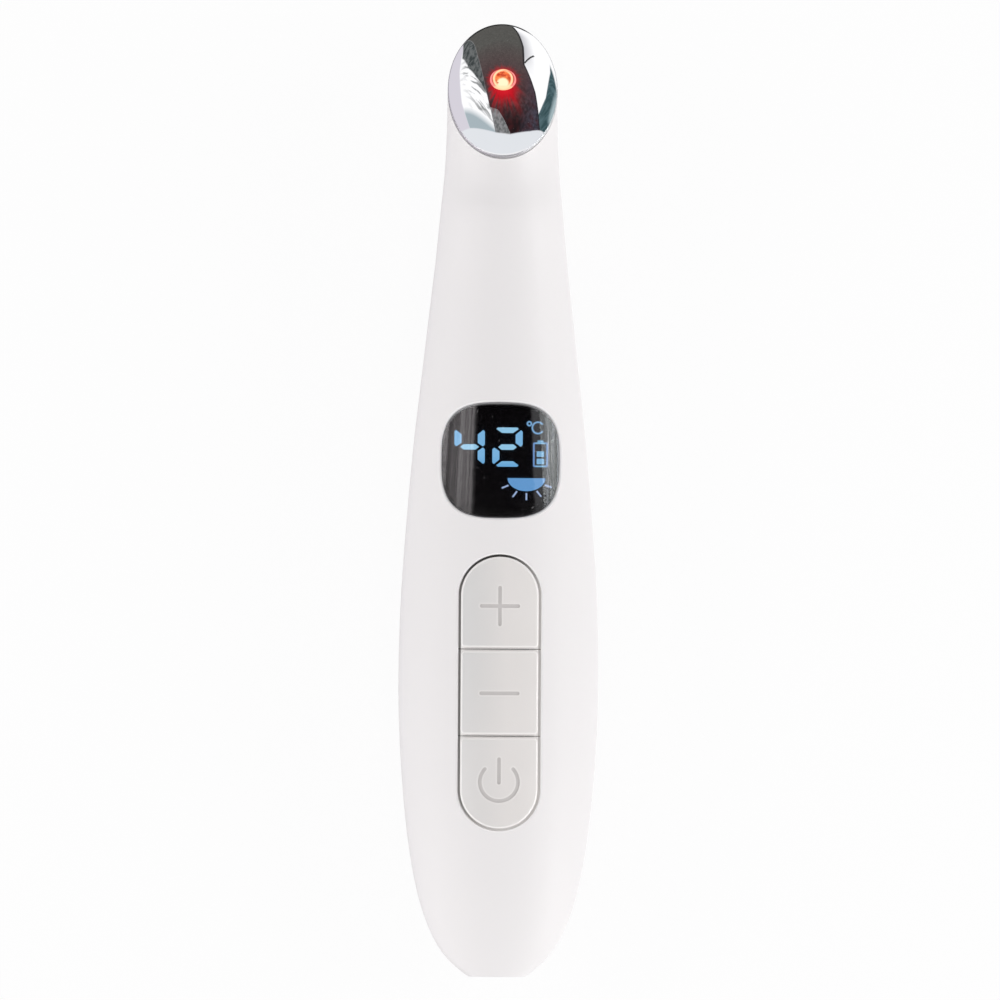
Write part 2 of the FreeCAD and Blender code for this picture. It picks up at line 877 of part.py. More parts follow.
def make_battery_icon():
    x, y = battery_icon_centre
    width, length = battery_icon_size
    corner = icon_stroke
    outer = rounded_rectangle(width, length, corner, x, y)
    inner = rounded_rectangle(width - 2 * icon_stroke, length - 2 * icon_stroke, corner / 2, x, y)
    frame = ring(outer, inner, 0, far)
    nub_width, nub_length = battery_icon_nub
    nub = block(nub_width, 2 * nub_length, far, x, y + length / 2, 0)
    nub = nub.cut(prism(inner, -1, 2 * far))
    pieces = [on_display(frame.fuse(nub))]
    for rise in battery_icon_bar_rises:
        bar = rounded_rectangle(*battery_icon_bar, corner / 2, x, y + rise)
        pieces.append(readout_piece(bar))
    return pieces


def make_lamp_icon():
    x, y = lamp_icon_centre
    half_width, depth = lamp_icon_radius
    shade = Part.Ellipse(Vec(x + half_width, y, 0), Vec(x, y + depth, 0), Vec(x, y, 0))
    bowl = Part.Arc(shade, math.pi, 2 * math.pi).toShape()
    lid = Part.LineSegment(Vec(x + half_width, y, 0), Vec(x - half_width, y, 0)).toShape()
    pieces = [readout_piece(Part.Wire([bowl, lid]))]
    for degrees in lamp_ray_angles:
        cosine = math.cos(math.radians(degrees))
        sine = math.sin(math.radians(degrees))
        start = 1 / math.hypot(cosine / half_width, sine / depth) + lamp_ray_gap
        end = start + lamp_ray_length
        ray = turned_bar(
            icon_stroke, x + start * cosine, y + start * sine, x + end * cosine, y + end * sine
        )
        pieces.append(readout_piece(ray))
    return pieces


def make_display_icons():
    return Part.makeCompound(make_degree_sign() + make_battery_icon() + make_lamp_icon())


# ---------------------------------------------------------------- key pieces
def make_symbol(name, y):
    """Upright prism of the mark cut into a key."""
    across = prism(rounded_rectangle(symbol_arm, symbol_stroke, symbol_corner, 0, y), 0, far)
    if name == "minus":
        return across
    if name == "plus":
        along = rounded_rectangle(symbol_stroke, symbol_arm, symbol_corner, 0, y)
        return across.fuse(prism(along, 0, far))
    outer = circle_wire(power_ring_radius, 0, y)
    inner = circle_wire(power_ring_radius - symbol_stroke, 0, y)
    half = math.radians(power_ring_opening / 2)
    reach = 3 * power_ring_radius
    wedge = [(0, y), (reach * math.sin(half), y + reach * math.cos(half))]
    wedge += [(-reach * math.sin(half), y + reach * math.cos(half))]
    mark = ring(outer, inner, 0, far).cut(prism(polygon(wedge), -1, far + 1))
    bar_y = y + power_ring_radius - power_bar_length / 2 + symbol_stroke
    bar = rounded_rectangle(symbol_stroke, power_bar_length, symbol_corner, 0, bar_y)
    return mark.fuse(prism(bar, 0, far))


def on_key_top(point):
    height = surface_height(point.x, point.y) + key_proud
    return abs(point.z - height) < key_proud / 2


def key_corners(cap, number):
    """Upright edges of a key's cap where it meets the gap to its neighbour."""
    side = slot_width / 2 - key_side_gap
    low, high = key_spans[number]
    ends = [low + key_gap / 2] * (number > 0) + [high - key_gap / 2] * (number < 2)

    def on_corner(point):
        return abs(abs(point.x) - side) < 1e-4 and any(abs(point.y - y) < 1e-4 for y in ends)

    return edges_where(cap, on_corner)


def make_key(number):
    name = key_names[number]
    outline = slot_prism(-key_side_gap, key_flange_bottom, far)
    cap = outline.common(key_slab(number, key_gap)).common(lowered(-key_proud))
    cap = cap.makeFillet(key_corner_radius, key_corners(cap, number))
    cap = cap.makeFillet(key_edge_radius, edges_where(cap, on_key_top))
    slab = key_slab(number, key_step_gap)
    step = outline.common(slab).common(lowered(key_step_depth - key_proud))
    cap = cap.fuse(step)
    flange = slot_prism(key_flange_reach, key_flange_bottom, key_flange_top).common(slab)
    low, high = key_spans[number]
    inner = key_gap / 2 + key_skin
    room = box(-far, far, low + inner, high - inner, -far, far)
    pocket = slot_prism(-key_side_gap - key_skin, 0, far).common(room).common(lowered(key_skin))
    middle = key_middle(number)
    post = cylinder(key_post_radius, far, Vec(0, middle, stem_top)).common(lowered(key_skin / 2))
    mark = make_symbol(name, middle + symbol_shifts[number])
    mark = mark.cut(lowered(symbol_depth - key_proud))
    return cap.fuse(flange).cut(pocket).fuse(post).cut(mark)


def make_switch_body(number):
    y = key_middle(number)
    body = block(switch_size, switch_size, switch_height, 0, y, board_top)
    bore_depth = switch_stem_hidden + key_travel + switch_stem_spare
    bore_bottom = board_top + switch_height - bore_depth
    bore = cylinder(switch_stem_radius + switch_stem_clearance, far, Vec(0, y, bore_bottom))
    return body.cut(bore)


def make_switch_stem(number):
    bottom = board_top + switch_height - switch_stem_hidden
    return cylinder(switch_stem_radius, stem_top - bottom, Vec(0, key_middle(number), bottom))


# ---------------------------------------------------------------- main board
board_half_width = (
    min(
        inner_half_width(y, z)
        for y in (board_low, board_high)
        for z in (board_height, board_top)
    )
    - board_side_clearance
)

# Small parts on the board: x, distance from the tail, width, length, height, on its top or not
board_parts = [
    (-6.2, 36.4, 1.6, 0.8, 0.6, True),
    (-6.2, 38.6, 1.6, 0.8, 0.6, True),
    (6.2, 36.4, 1.6, 0.8, 0.6, True),
    (6.2, 50.2, 3.2, 1.6, 1.4, True),
    (-6.2, 50.2, 2.0, 1.25, 0.9, True),
    (-6.2, 52.8, 2.0, 1.25, 0.9, True),
    (6.0, 23.5, 3.2, 2.5, 1.8, True),
    (-6.0, 23.5, 1.6, 0.8, 0.6, True),
    (-5.5, 89.5, 2.0, 1.25, 0.9, True),
    (5.5, 89.5, 2.9, 1.3, 1.0, True),
    (-3.5, 85.0, 1.6, 0.8, 0.6, False),
    (-1.0, 85.0, 1.6, 0.8, 0.6, False),
    (3.5, 85.0, 2.9, 1.3, 1.0, False),
]


def make_main_board():
    length = board_high - board_low
    middle = (board_low + board_high) / 2
    outline = rounded_rectangle(2 * board_half_width, length, board_corner_radius, 0, middle)
    board = prism(outline, board_height, board_top)
    for x, y in boss_places:
        board = board.cut(cylinder(screw_radius + screw_hole_clearance, far, Vec(x, y, 0)))
    return board


def make_board_screws():
    screws = []
    for x, y in boss_places:
        bottom = board_height - screw_head_height
        head = cylinder(screw_head_radius, screw_head_height, Vec(x, y, bottom))
        shank = cylinder(screw_radius - screw_thread_gap, screw_length, Vec(x, y, board_height))
        depth = screw_head_height / 2
        cross = block(screw_drive_length, screw_drive_width, depth, x, y, bottom)
        cross = cross.fuse(block(screw_drive_width, screw_drive_length, depth, x, y, bottom))
        screws.append(head.fuse(shank).cut(cross))
    return Part.makeCompound(screws)


def make_microcontroller():
    y = from_tail(chip_from_tail)
    body = block(chip_size, chip_size, chip_thickness, 0, y, board_height - chip_thickness)
    return body.makeChamfer(chip_chamfer, body.Edges)


def make_microcontroller_leads():
    y = from_tail(chip_from_tail)
    leads = []
    first = -chip_lead_pitch * (chip_leads_per_side - 1) / 2
    width = chip_lead_pitch / 2
    middle = chip_size / 2 + chip_lead_reach / 2
    z = board_height - chip_lead_thickness
    for number in range(chip_leads_per_side):
        along = first + number * chip_lead_pitch
        for side in (-1, 1):
            x = side * middle
            leads.append(block(chip_lead_reach, width, chip_lead_thickness, x, y + along, z))
            y_end = y + side * middle
            leads.append(block(width, chip_lead_reach, chip_lead_thickness, along, y_end, z))
    return Part.makeCompound(leads)


def make_board_components():
    pieces = []
    for x, place, width, length, height, on_top in board_parts:
        z = board_top if on_top else board_height - height
        pieces.append(block(width, length, height, x, from_tail(place), z))
    return Part.makeCompound(pieces)


# ---------------------------------------------------------------- battery
battery_y = from_tail(battery_from_tail)
battery_end = battery_y + battery_length / 2
plug_width, plug_length, plug_height = plug_size
plug_y = from_tail(plug_from_tail)
lead_height = battery_height + battery_thickness / 2


def make_battery_cell():
    cell = block(battery_width, battery_length, battery_thickness, 0, battery_y, battery_height)
    return cell.makeFillet(battery_edge_radius, cell.Edges)


def make_battery_tape():
    flat_width = battery_width - 2 * battery_edge_radius
    flat_length = battery_length - 2 * battery_edge_radius
    z = battery_height - battery_tape_thickness
    return block(flat_width, flat_length, battery_tape_thickness, 0, battery_y, z)


def make_battery_plug():
    return block(*plug_size, 0, plug_y, board_height - plug_height)


def make_battery_lead(side):
    """A lead from the cell's end up to the plug under the board."""
    x = side * lead_spacing / 2
    plug_middle = board_height - plug_height / 2
    plug_back = plug_y - plug_length / 2
    third = (plug_back - battery_end) / 3
    points = [
        Vec(x, battery_end, lead_height),
        Vec(x, battery_end + third, lead_height),
        Vec(x, plug_back - third, plug_middle),
        Vec(x, plug_back, plug_middle),
    ]
    return wire_solid(points, lead_radius)


# ---------------------------------------------------------------- charging socket
port_bottom = port_height_centre - port_height / 2
port_y = tail + port_recess
charge_wire_x = charge_board_width / 2 - 2 * lead_radius


def make_port_shell():
    outer = port_prism(0, port_y, port_y + port_depth)
    inner = port_prism(-port_sheet, port_y - 1, port_y + port_depth - port_sheet)
    return outer.cut(inner)


def make_port_tongue():
    back = port_y + port_depth - port_sheet
    front = port_y + tongue_recess
    return box(
        -tongue_width / 2,
        tongue_width / 2,
        front,
        back,
        port_height_centre,
        port_height_centre + tongue_thickness,
    )


def make_port_contacts():
    first = -contact_pitch * (contact_count - 1) / 2
    sheet = port_sheet / 2
    start = port_y + contact_recess
    end = port_y + port_depth - port_sheet
    z = port_height_centre - sheet
    contacts = []
    for number in range(contact_count):
        x = first + number * contact_pitch
        contacts.append(block(contact_width, end - start, sheet, x, (start + end) / 2, z))
    return Part.makeCompound(contacts)


def make_charge_board():
    start = from_tail(charge_board_start)
    end = from_tail(charge_board_end)
    z = port_bottom - charge_board_thickness
    return block(charge_board_width, end - start, charge_board_thickness, 0, (start + end) / 2, z)


def make_charge_lead(side):
    """A lead from the charging board up and over the end of the main board."""
    x = side * charge_wire_x
    start = from_tail(charge_board_end) - charge_lead_inset
    end = board_low + charge_lead_inset
    points = [
        Vec(x, start, port_bottom),
        Vec(x, start, port_bottom + charge_lead_rise),
        Vec(x, end, board_top + charge_lead_drop),
        Vec(x, end, board_top),
    ]
    return wire_solid(points, lead_radius)


# ---------------------------------------------------------------- vibration motor
def motor_cylinder(radius, start, length):
    return cylinder(radius, length, Vec(0, start, motor_height), Vec(0, 1, 0))


def make_motor_can():
    can = motor_cylinder(motor_radius, motor_y, motor_length)
    hollow_length = motor_length + 1 - motor_sheet
    hollow = motor_cylinder(motor_radius - motor_sheet, motor_y - 1, hollow_length)
    bearing = motor_cylinder(shaft_radius + shaft_clearance, motor_y, motor_length + 1)
    return can.cut(hollow).cut(bearing)


def make_motor_end_cap():
    cap = motor_cylinder(motor_radius, motor_y - motor_cap_length, motor_cap_length)
    plug = motor_cylinder(motor_radius - motor_sheet, motor_y, motor_plug_length)
    bearing_start = motor_y - motor_cap_length / 2
    bearing = motor_cylinder(shaft_radius + shaft_clearance, bearing_start, motor_length)
    return cap.fuse(plug).cut(bearing)


def make_motor_shaft():
    start = motor_y - motor_cap_length / 3
    return motor_cylinder(shaft_radius, start, motor_end + shaft_length - start)


def make_motor_armature():
    start = motor_y + (motor_length - armature_length) / 2
    armature = motor_cylinder(armature_radius, start, armature_length)
    return armature.cut(motor_cylinder(shaft_radius, start - 1, armature_length + 2))


def make_motor_weight():
    start = motor_end + weight_gap
    disc = motor_cylinder(weight_radius, start, weight_length)
    upper = box(-far, far, -body_length, body_length, motor_height + 2 * shaft_radius, far)
    return disc.cut(upper).cut(motor_cylinder(shaft_radius, start - 1, weight_length + 2))


def make_motor_boot():
    start = motor_y + (motor_length - boot_length) / 2
    boot = motor_cylinder(motor_radius + boot_thickness, start, boot_length)
    return boot.cut(motor_cylinder(motor_radius, start - 1, boot_length + 2))


def make_motor_lead(side):
    """A lead from the motor's end cap down to the end of the main board."""
    x = side * lead_spacing / 2
    start = motor_y - motor_cap_length
    end = board_high - motor_lead_inset
    third = (start - end) / 3
    top = board_top + motor_lead_rise
    points = [
        Vec(x, start, motor_height),
        Vec(x, start - third, motor_height),
        Vec(x, start - 2 * third, top),
        Vec(x, end, top),
        Vec(x, end, board_top),
    ]
    return wire_solid(points, thin_lead_radius)


# ---------------------------------------------------------------- massage head
# Head pieces are made upright round the origin, the rim's plane at z = 0, and then placed on the head.
head_placement = FreeCAD.Placement(plate_centre, FreeCAD.Rotation(Vec(1, 0, 0), -head_tilt))
plate_normal = head_placement.Rotation.multVec(Vec(0, 0, 1))
dome_slope = math.radians(60)


def on_head(shape):
    placed = shape.copy()
    placed.Placement = head_placement
    return placed


def ellipse_prism(inset, z0, z1):
    ellipse = Part.Ellipse(
        Vec(0, plate_half_length - inset, 0), Vec(plate_half_width - inset, 0, 0), Vec(0, 0, 0)
    )
    return prism(Part.Wire([ellipse.toShape()]), z0, z1)


def dome(inset, height):
    """An oval dome standing on the plate's edge, made from a slice of a ball."""
    ball = Part.makeSphere(1.0, Vec(0, 0, -math.cos(dome_slope)))
    slice_above = ball.common(box(-2, 2, -2, 2, 0, 2))
    base = math.sin(dome_slope)
    rise = 1 - math.cos(dome_slope)
    stretch = FreeCAD.Matrix()
    stretch.scale(
        (plate_half_width - inset) / base, (plate_half_length - inset) / base, height / rise
    )
    placed = slice_above.transformGeometry(stretch)
    placed.translate(Vec(0, 0, plate_edge_top))
    return placed


inner_dome_height = plate_dome_height - plate_thickness
dome_top = plate_edge_top + plate_dome_height
flange_top = dome_top - plate_thickness - heater_thickness - led_lens_flange_depth
film_hole_radius = led_lens_flange_radius + led_lens_flange_clearance


def make_massage_plate():
    outside = dome(0, plate_dome_height).fuse(ellipse_prism(0, gasket_thickness, plate_edge_top))
    inside = dome(plate_thickness, inner_dome_height)
    inside = inside.fuse(ellipse_prism(plate_thickness, 0, plate_edge_top))
    hole = cylinder(lens_hole_radius, far, Vec(0, 0, 0))
    return on_head(outside.cut(inside).cut(hole))


def make_heater_film():
    bond = plate_thickness + heater_gap
    film = dome(bond, plate_dome_height - bond)
    inner = bond + heater_thickness
    film = film.cut(dome(inner, plate_dome_height - inner))
    film = film.cut(cylinder(film_hole_radius, far, Vec(0, 0, 0)))
    return on_head(film)


def make_plate_gasket():
    outer = ellipse_prism(gasket_inset, 0, gasket_thickness)
    return on_head(outer.cut(ellipse_prism(gasket_inset + gasket_width, -1, far)))


def make_led_lens():
    radius = lens_hole_radius - led_lens_clearance
    flange_bottom = flange_top - led_lens_flange_thickness
    flange = cylinder(led_lens_flange_radius, led_lens_flange_thickness, Vec(0, 0, flange_bottom))
    barrel = cylinder(radius, dome_top - flange_top, Vec(0, 0, flange_top))
    cap_height = led_lens_proud
    ball_radius = (radius**2 + cap_height**2) / (2 * cap_height)
    cap = Part.makeSphere(ball_radius, Vec(0, 0, dome_top + cap_height - ball_radius))
    cap = cap.common(cylinder(radius, cap_height, Vec(0, 0, dome_top)))
    return on_head(flange.fuse(barrel).fuse(cap))


def make_led_board():
    return on_head(cylinder(led_board_radius, led_board_thickness, Vec(0, 0, 0)))


def make_red_led():
    return on_head(block(led_width, led_length, led_thickness, 0, 0, led_board_thickness))


def make_thermistor():
    return on_head(cylinder(thermistor_radius, thermistor_length, Vec(0, -thermistor_offset, 0)))


def make_head_carrier():
    form = casing_form(wall + carrier_clearance)
    slab = on_head(box(-far, far, -far, far, -carrier_depth, 0))
    wire_hole = on_head(cylinder(carrier_hole_radius, far, Vec(0, 0, -far / 2)))
    return form.common(slab).cut(wire_hole)


def make_head_lead(x):
    """A lead from the light's board, over the motor, to the end of the main board."""
    start = plate_centre + Vec(x, 0, 0)
    over_motor = motor_height + motor_radius + boot_thickness + head_lead_gap
    end = board_high - head_lead_inset
    points = [
        start,
        start - plate_normal * head_lead_straight,
        Vec(x, motor_end + shaft_length + head_lead_gap, over_motor),
        Vec(x, (motor_y + end) / 2 + head_lead_gap, over_motor + head_lead_arch),
        Vec(x, end, over_motor - head_lead_sag),
        Vec(x, end, board_top),
    ]
    return wire_solid(points, thin_lead_radius)


def make_head_leads(x):
    return Part.makeCompound([make_head_lead(x), make_head_lead(-x)])


# ---------------------------------------------------------------- all pieces
pieces = {
    "front_shell": make_front_shell(),
    "back_shell": make_back_shell(),
    "massage_plate": make_massage_plate(),
    "plate_gasket": make_plate_gasket(),
    "heater_film": make_heater_film(),
    "head_carrier": make_head_carrier(),
    "thermistor": make_thermistor(),
    "led_board": make_led_board(),
    "red_led": make_red_led(),
    "led_lens": make_led_lens(),
    "window_lens": make_window_lens(),
    "window_tape": make_window_tape(),
    "display_module": make_display_module(),
    "display_digits": make_display_digits(),
    "display_icons": make_display_icons(),
    "main_board": make_main_board(),
    "board_screws": make_board_screws(),
    "microcontroller": make_microcontroller(),
    "microcontroller_leads": make_microcontroller_leads(),
    "board_components": make_board_components(),
    "battery_cell": make_battery_cell(),
    "battery_tape": make_battery_tape(),
    "battery_plug": make_battery_plug(),
    "battery_lead_red": make_battery_lead(1),
    "battery_lead_black": make_battery_lead(-1),
    "port_shell": make_port_shell(),
    "port_tongue": make_port_tongue(),
    "port_contacts": make_port_contacts(),
    "charge_board": make_charge_board(),
    "charge_leads": Part.makeCompound([make_charge_lead(1), make_charge_lead(-1)]),
    "motor_can": make_motor_can(),
    "motor_end_cap": make_motor_end_cap(),
    "motor_shaft": make_motor_shaft(),
    "motor_armature": make_motor_armature(),
    "motor_weight": make_motor_weight(),
    "motor_boot": make_motor_boot(),
    "motor_leads": Part.makeCompound([make_motor_lead(1), make_motor_lead(-1)]),
    "led_leads": make_head_leads(led_lead_x),
    "heater_leads": make_head_leads(heater_lead_x),
}
for number, name in enumerate(key_names):
    pieces["button_" + name] = make_key(number)
    pieces["switch_body_" + name] = make_switch_body(number)
    pieces["switch_stem_" + name] = make_switch_stem(number)

os.makedirs("parts", exist_ok=True)
for node, shape in pieces.items():
    write(node, shape)
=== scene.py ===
# Heated eye massager wand. Metres; the head is at +Y and the keys face +Z.
import json
import math
import bmesh
import bpy
from mathutils import Matrix, Vector


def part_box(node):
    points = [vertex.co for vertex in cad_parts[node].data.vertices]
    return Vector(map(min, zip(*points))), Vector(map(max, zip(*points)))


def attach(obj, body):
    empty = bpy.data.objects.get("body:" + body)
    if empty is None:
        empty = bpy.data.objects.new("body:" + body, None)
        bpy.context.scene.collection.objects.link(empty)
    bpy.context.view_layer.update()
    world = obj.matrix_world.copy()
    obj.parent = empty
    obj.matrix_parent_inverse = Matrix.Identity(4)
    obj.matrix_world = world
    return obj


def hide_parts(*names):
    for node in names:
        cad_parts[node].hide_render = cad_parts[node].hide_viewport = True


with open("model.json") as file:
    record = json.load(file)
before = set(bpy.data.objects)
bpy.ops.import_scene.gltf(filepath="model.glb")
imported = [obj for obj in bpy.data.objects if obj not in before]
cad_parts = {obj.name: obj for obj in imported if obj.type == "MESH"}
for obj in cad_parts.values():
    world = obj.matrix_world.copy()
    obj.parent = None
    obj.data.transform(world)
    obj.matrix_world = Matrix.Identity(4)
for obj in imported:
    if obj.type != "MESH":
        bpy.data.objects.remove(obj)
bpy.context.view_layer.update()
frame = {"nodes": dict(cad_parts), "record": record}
cadNodes = frame["nodes"]
mm = 0.001
print("frame loaded:", len(cadNodes), "nodes")


# nodes written as Python expressions

def operator(operation, reflected=False):
    def apply(self, other):
        return self.nodes.maths(operation, *((other, self) if reflected else (self, other)))
    return apply


class Value:  # one output socket; an operator adds its Math node
    def __init__(self, nodes, socket):
        self.nodes, self.socket = nodes, socket

    def other(self, name):
        return Value(self.nodes, self.socket.node.outputs[name])

    def __abs__(self):
        return self.nodes.maths("ABSOLUTE", self)

    __add__, __radd__ = operator("ADD"), operator("ADD", reflected=True)
    __sub__, __rsub__ = operator("SUBTRACT"), operator("SUBTRACT", reflected=True)
    __mul__, __rmul__ = operator("MULTIPLY"), operator("MULTIPLY", reflected=True)
    __truediv__, __pow__ = operator("DIVIDE"), operator("POWER")
    __gt__, __lt__ = operator("GREATER_THAN"), operator("LESS_THAN")


class Nodes:  # a shader or geometry tree that is being filled
    def __init__(self, tree):
        self.tree = tree
        tree.nodes.clear()

    def add(self, kind, settings=None, values=None, out=0):
        node = self.tree.nodes.new(kind)
        for name, setting in (settings or {}).items():
            if name == "stops":
                self.setStops(node.color_ramp, setting)
            else:
                setattr(node, name, setting)
        pairs = values.items() if isinstance(values, dict) else enumerate(values or ())
        for name, value in pairs:
            if isinstance(name, int):
                socket = node.inputs[name]
            else:
                socket = next(s for s in node.inputs if s.enabled and s.name == name)
            if isinstance(value, Value):
                self.tree.links.new(value.socket, socket)
            elif isinstance(value, tuple) and len(value) == 3 and socket.type == "RGBA":
                socket.default_value = (*value, 1.0)
            else:
                socket.default_value = value
        outputs = [s for s in node.outputs if s.enabled]
        if not outputs:
            return None
        return Value(self, outputs[out] if isinstance(out, int) else node.outputs[out])

    def setStops(self, ramp, stops):
        while len(ramp.elements) < len(stops):
            ramp.elements.new(0.5)
        for element, (place, shade) in zip(ramp.elements, stops):
            element.position = place
            element.color = (*shade, 1.0) if isinstance(shade, tuple) else (shade, shade, shade, 1.0)

    def maths(self, operation, *numbers, **settings):
        return self.add("ShaderNodeMath", {"operation": operation, **settings}, numbers)

    def mix(self, factor, first, second):
        inputs = {"Factor": factor, "A": first, "B": second}
        return self.add("ShaderNodeMix", {"data_type": "RGBA"}, inputs)

    def patch(self, ground, colour, *masks):  # the colour where every mask is 1
        mask = masks[0]
        for other in masks[1:]:
            mask = mask * other
        return self.mix(mask, ground, colour)

    def above(self, value, edge, width):  # from 0 to 1 as the value passes the edge
        return self.maths("ADD", (value - edge) / width, 0.5, use_clamp=True)

    def below(self, value, edge, width):
        return 1 - self.above(value, edge, width)

    def length(self, x, y):
        return self.maths("SQRT", x * x + y * y)

    def vector(self, x, y, z):
        return self.add("ShaderNodeCombineXYZ", None, [x, y, z])

    def profile(self, value, points):  # straight runs through (value, result) points
        places = [p[0] for p in points]
        results = [p[1] for p in points]
        low, reach = places[0], places[-1] - places[0]
        bottom, height = min(results), max(results) - min(results)
        stops = [((place - low) / reach, (result - bottom) / height) for place, result in points]
        ramp = self.add("ShaderNodeValToRGB", {"stops": stops}, {"Fac": (value - low) / reach})
        return ramp * height + bottom

    def place(self, centre=(0, 0, 0), turn=(0, 0, 0)):  # Object coordinates
        own = self.add("ShaderNodeTexCoord", out="Object")
        inputs = {"Vector": own, "Location": centre, "Rotation": turn}
        return self.add("ShaderNodeMapping", {"vector_type": "TEXTURE"}, inputs)

    def split(self, vector):
        x = self.add("ShaderNodeSeparateXYZ", None, {"Vector": vector}, out="X")
        return x, x.other("Y"), x.other("Z")

    def noise(self, vector, scale, detail=2.0, **values):
        inputs = {"Vector": vector, "Scale": scale, "Detail": detail, **values}
        return self.add("ShaderNodeTexNoise", None, inputs, out="Fac")

    def stretched(self, vector, scale):
        return self.add("ShaderNodeVectorMath", {"operation": "MULTIPLY"}, [vector, scale])

    def bump(self, height, depth, strength=1.0):
        inputs = {"Strength": strength, "Distance": depth, "Height": height}
        return self.add("ShaderNodeBump", None, inputs)


def emptyFinish(name):
    finish = bpy.data.materials.new(name)
    finish.use_nodes = True
    return finish, Nodes(finish.node_tree)


def newFinish(name, build):  # build gives the shader's constants and links by socket name
    finish, nodes = emptyFinish(name)
    shader = nodes.add("ShaderNodeBsdfPrincipled", None, build(nodes))
    nodes.add("ShaderNodeOutputMaterial", None, {"Surface": shader})
    return finish


def coat(node, finish):
    mesh = cadNodes[node].data
    mesh.materials.clear()
    mesh.materials.append(finish)


# geometry trees: built here, evaluated once, kept as plain meshes

def newTree(name, inputs):
    tree = bpy.data.node_groups.new(name, "GeometryNodeTree")
    for label, value in inputs.items():
        kind = "NodeSocketMaterial" if isinstance(value, bpy.types.Material) else "NodeSocketFloat"
        kind = "NodeSocketInt" if isinstance(value, int) else kind
        tree.interface.new_socket(label, in_out="INPUT", socket_type=kind)
    tree.interface.new_socket("Geometry", in_out="OUTPUT", socket_type="NodeSocketGeometry")
    nodes = Nodes(tree)
    entry = nodes.add("NodeGroupInput")
    return nodes, {label: entry.other(label) for label in inputs}


def endTree(nodes, geometry, finish):
    geometry = nodes.add("GeometryNodeRealizeInstances", None, {"Geometry": geometry})
    geometry = nodes.add("GeometryNodeSetShadeSmooth", None, {"Geometry": geometry})
    geometry = nodes.add("GeometryNodeSetMaterial", None, {"Geometry": geometry, "Material": finish})
    nodes.add("NodeGroupOutput", None, {"Geometry": geometry})


def grow(name, tree, inputs, where, dress=None):
    piece = bpy.data.objects.new(name, bpy.data.meshes.new(name))
    bpy.context.scene.collection.objects.link(piece)
    modifier = piece.modifiers.new("tree", "NODES")
    modifier.node_group = tree
    for item in tree.interface.items_tree:
        if item.in_out == "INPUT":
            modifier[item.identifier] = inputs[item.name]
    flatten(piece)
    tidyFaces(piece.data)
    if dress:
        dress(piece)
        flatten(piece)
    piece.data.transform(where)
    piece.data.update()
    return piece


def flatten(piece):  # modifiers become the mesh
    made = bpy.data.meshes.new_from_object(
        piece.evaluated_get(bpy.context.evaluated_depsgraph_get())
    )
    piece.modifiers.clear()
    piece.data = made
    made.name = piece.name


def tidyFaces(mesh):
    working = bmesh.new()
    working.from_mesh(mesh)
    bmesh.ops.remove_doubles(working, verts=working.verts, dist=0.002 * mm)
    bmesh.ops.recalc_face_normals(working, faces=working.faces)
    working.to_mesh(mesh)
    working.free()


def takePlace(piece, body, node):
    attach(piece, body)
    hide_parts(node)


# outlines that several finishes follow

slotShape = {"middle": -29.2 * mm, "straight": 14.75 * mm, "half": 6.25 * mm}
windowShape = {"middle": 6.1 * mm, "width": 8.9 * mm, "length": 8.7 * mm, "power": 3.0}


def pastSlot(nodes, x, y):  # distance outside the outline of the key slot
    past = nodes.maths("MAXIMUM", abs(y - slotShape["middle"]) - slotShape["straight"], 0.0)
    return nodes.length(x, past) - slotShape["half"]


def pastWindow(x, y):  # about the distance outside the outline of the window
    wide = abs(x / windowShape["width"]) ** windowShape["power"]
    high = abs((y - windowShape["middle"]) / windowShape["length"]) ** windowShape["power"]
    return ((wide + high) ** (1 / windowShape["power"]) - 1.0) * windowShape["width"]


def capsule(nodes, x, y, reach):  # distance from a line along x between -reach and reach
    past = nodes.maths("MAXIMUM", abs(x) - reach, 0.0)
    return nodes.length(past, y)


# casing, keys and other moulded plastics

unlit = (0.0, 0.0, 0.0)  # Emission Color where nothing shines

casing = {
    "colour": (0.842, 0.824, 0.820),
    "second": (0.812, 0.795, 0.796),
    "edge": (0.960, 0.950, 0.950),  # painted highlight beside the slot and the window
    "slotEdge": 0.24 * mm,
    "windowEdge": 0.38 * mm,
    "edgesAbove": 15 * mm,  # only on the front
    "flow": 30 * mm,  # size of the slow drift in the moulding
    "grain": 0.22 * mm,
    "roughness": 0.46,
    "gloss": 0.22,
    "wander": 0.08,
    "depth": 0.0016 * mm,
}

keys = {
    "colour": (0.778, 0.752, 0.735),
    "second": (0.748, 0.723, 0.703),
    "leftShade": (0.640, 0.640, 0.633),  # painted shade, darker towards the left edge
    # painted highlight along the keys' edges and round the marks
    "edge": (0.900, 0.880, 0.862),
    "highlightWidth": 0.28 * mm,
    "shade": (0.760, 0.740, 0.730),  # deep in the gap between two keys
    "mark": (0.620, 0.597, 0.585),
    # painted light glowing in the slot's gap
    "light": (1.0, 0.97, 0.95),
    "flow": 8 * mm,
    "grain": 0.18 * mm,
    "roughness": 0.35,
    "wander": 0.10,
    "depth": 0.003 * mm,
    "stroke": 0.55 * mm,
    "arm": 6.10 * mm,
    "ring": 3.17 * mm,
    "opening": 95.0,  # degrees left open at the top of the ring
    "bar": 4.1 * mm,
    "centres": {"plus": -16.03 * mm, "minus": -29.29 * mm, "power": -42.74 * mm},
    "toGap": 6.60 * mm,  # from the slot's middle to the gap between two keys
    "halfGap": 0.25 * mm,
    "fromSlot": 0.35 * mm,  # from the slot's outline to a key's side
    "corner": 0.60 * mm,
}


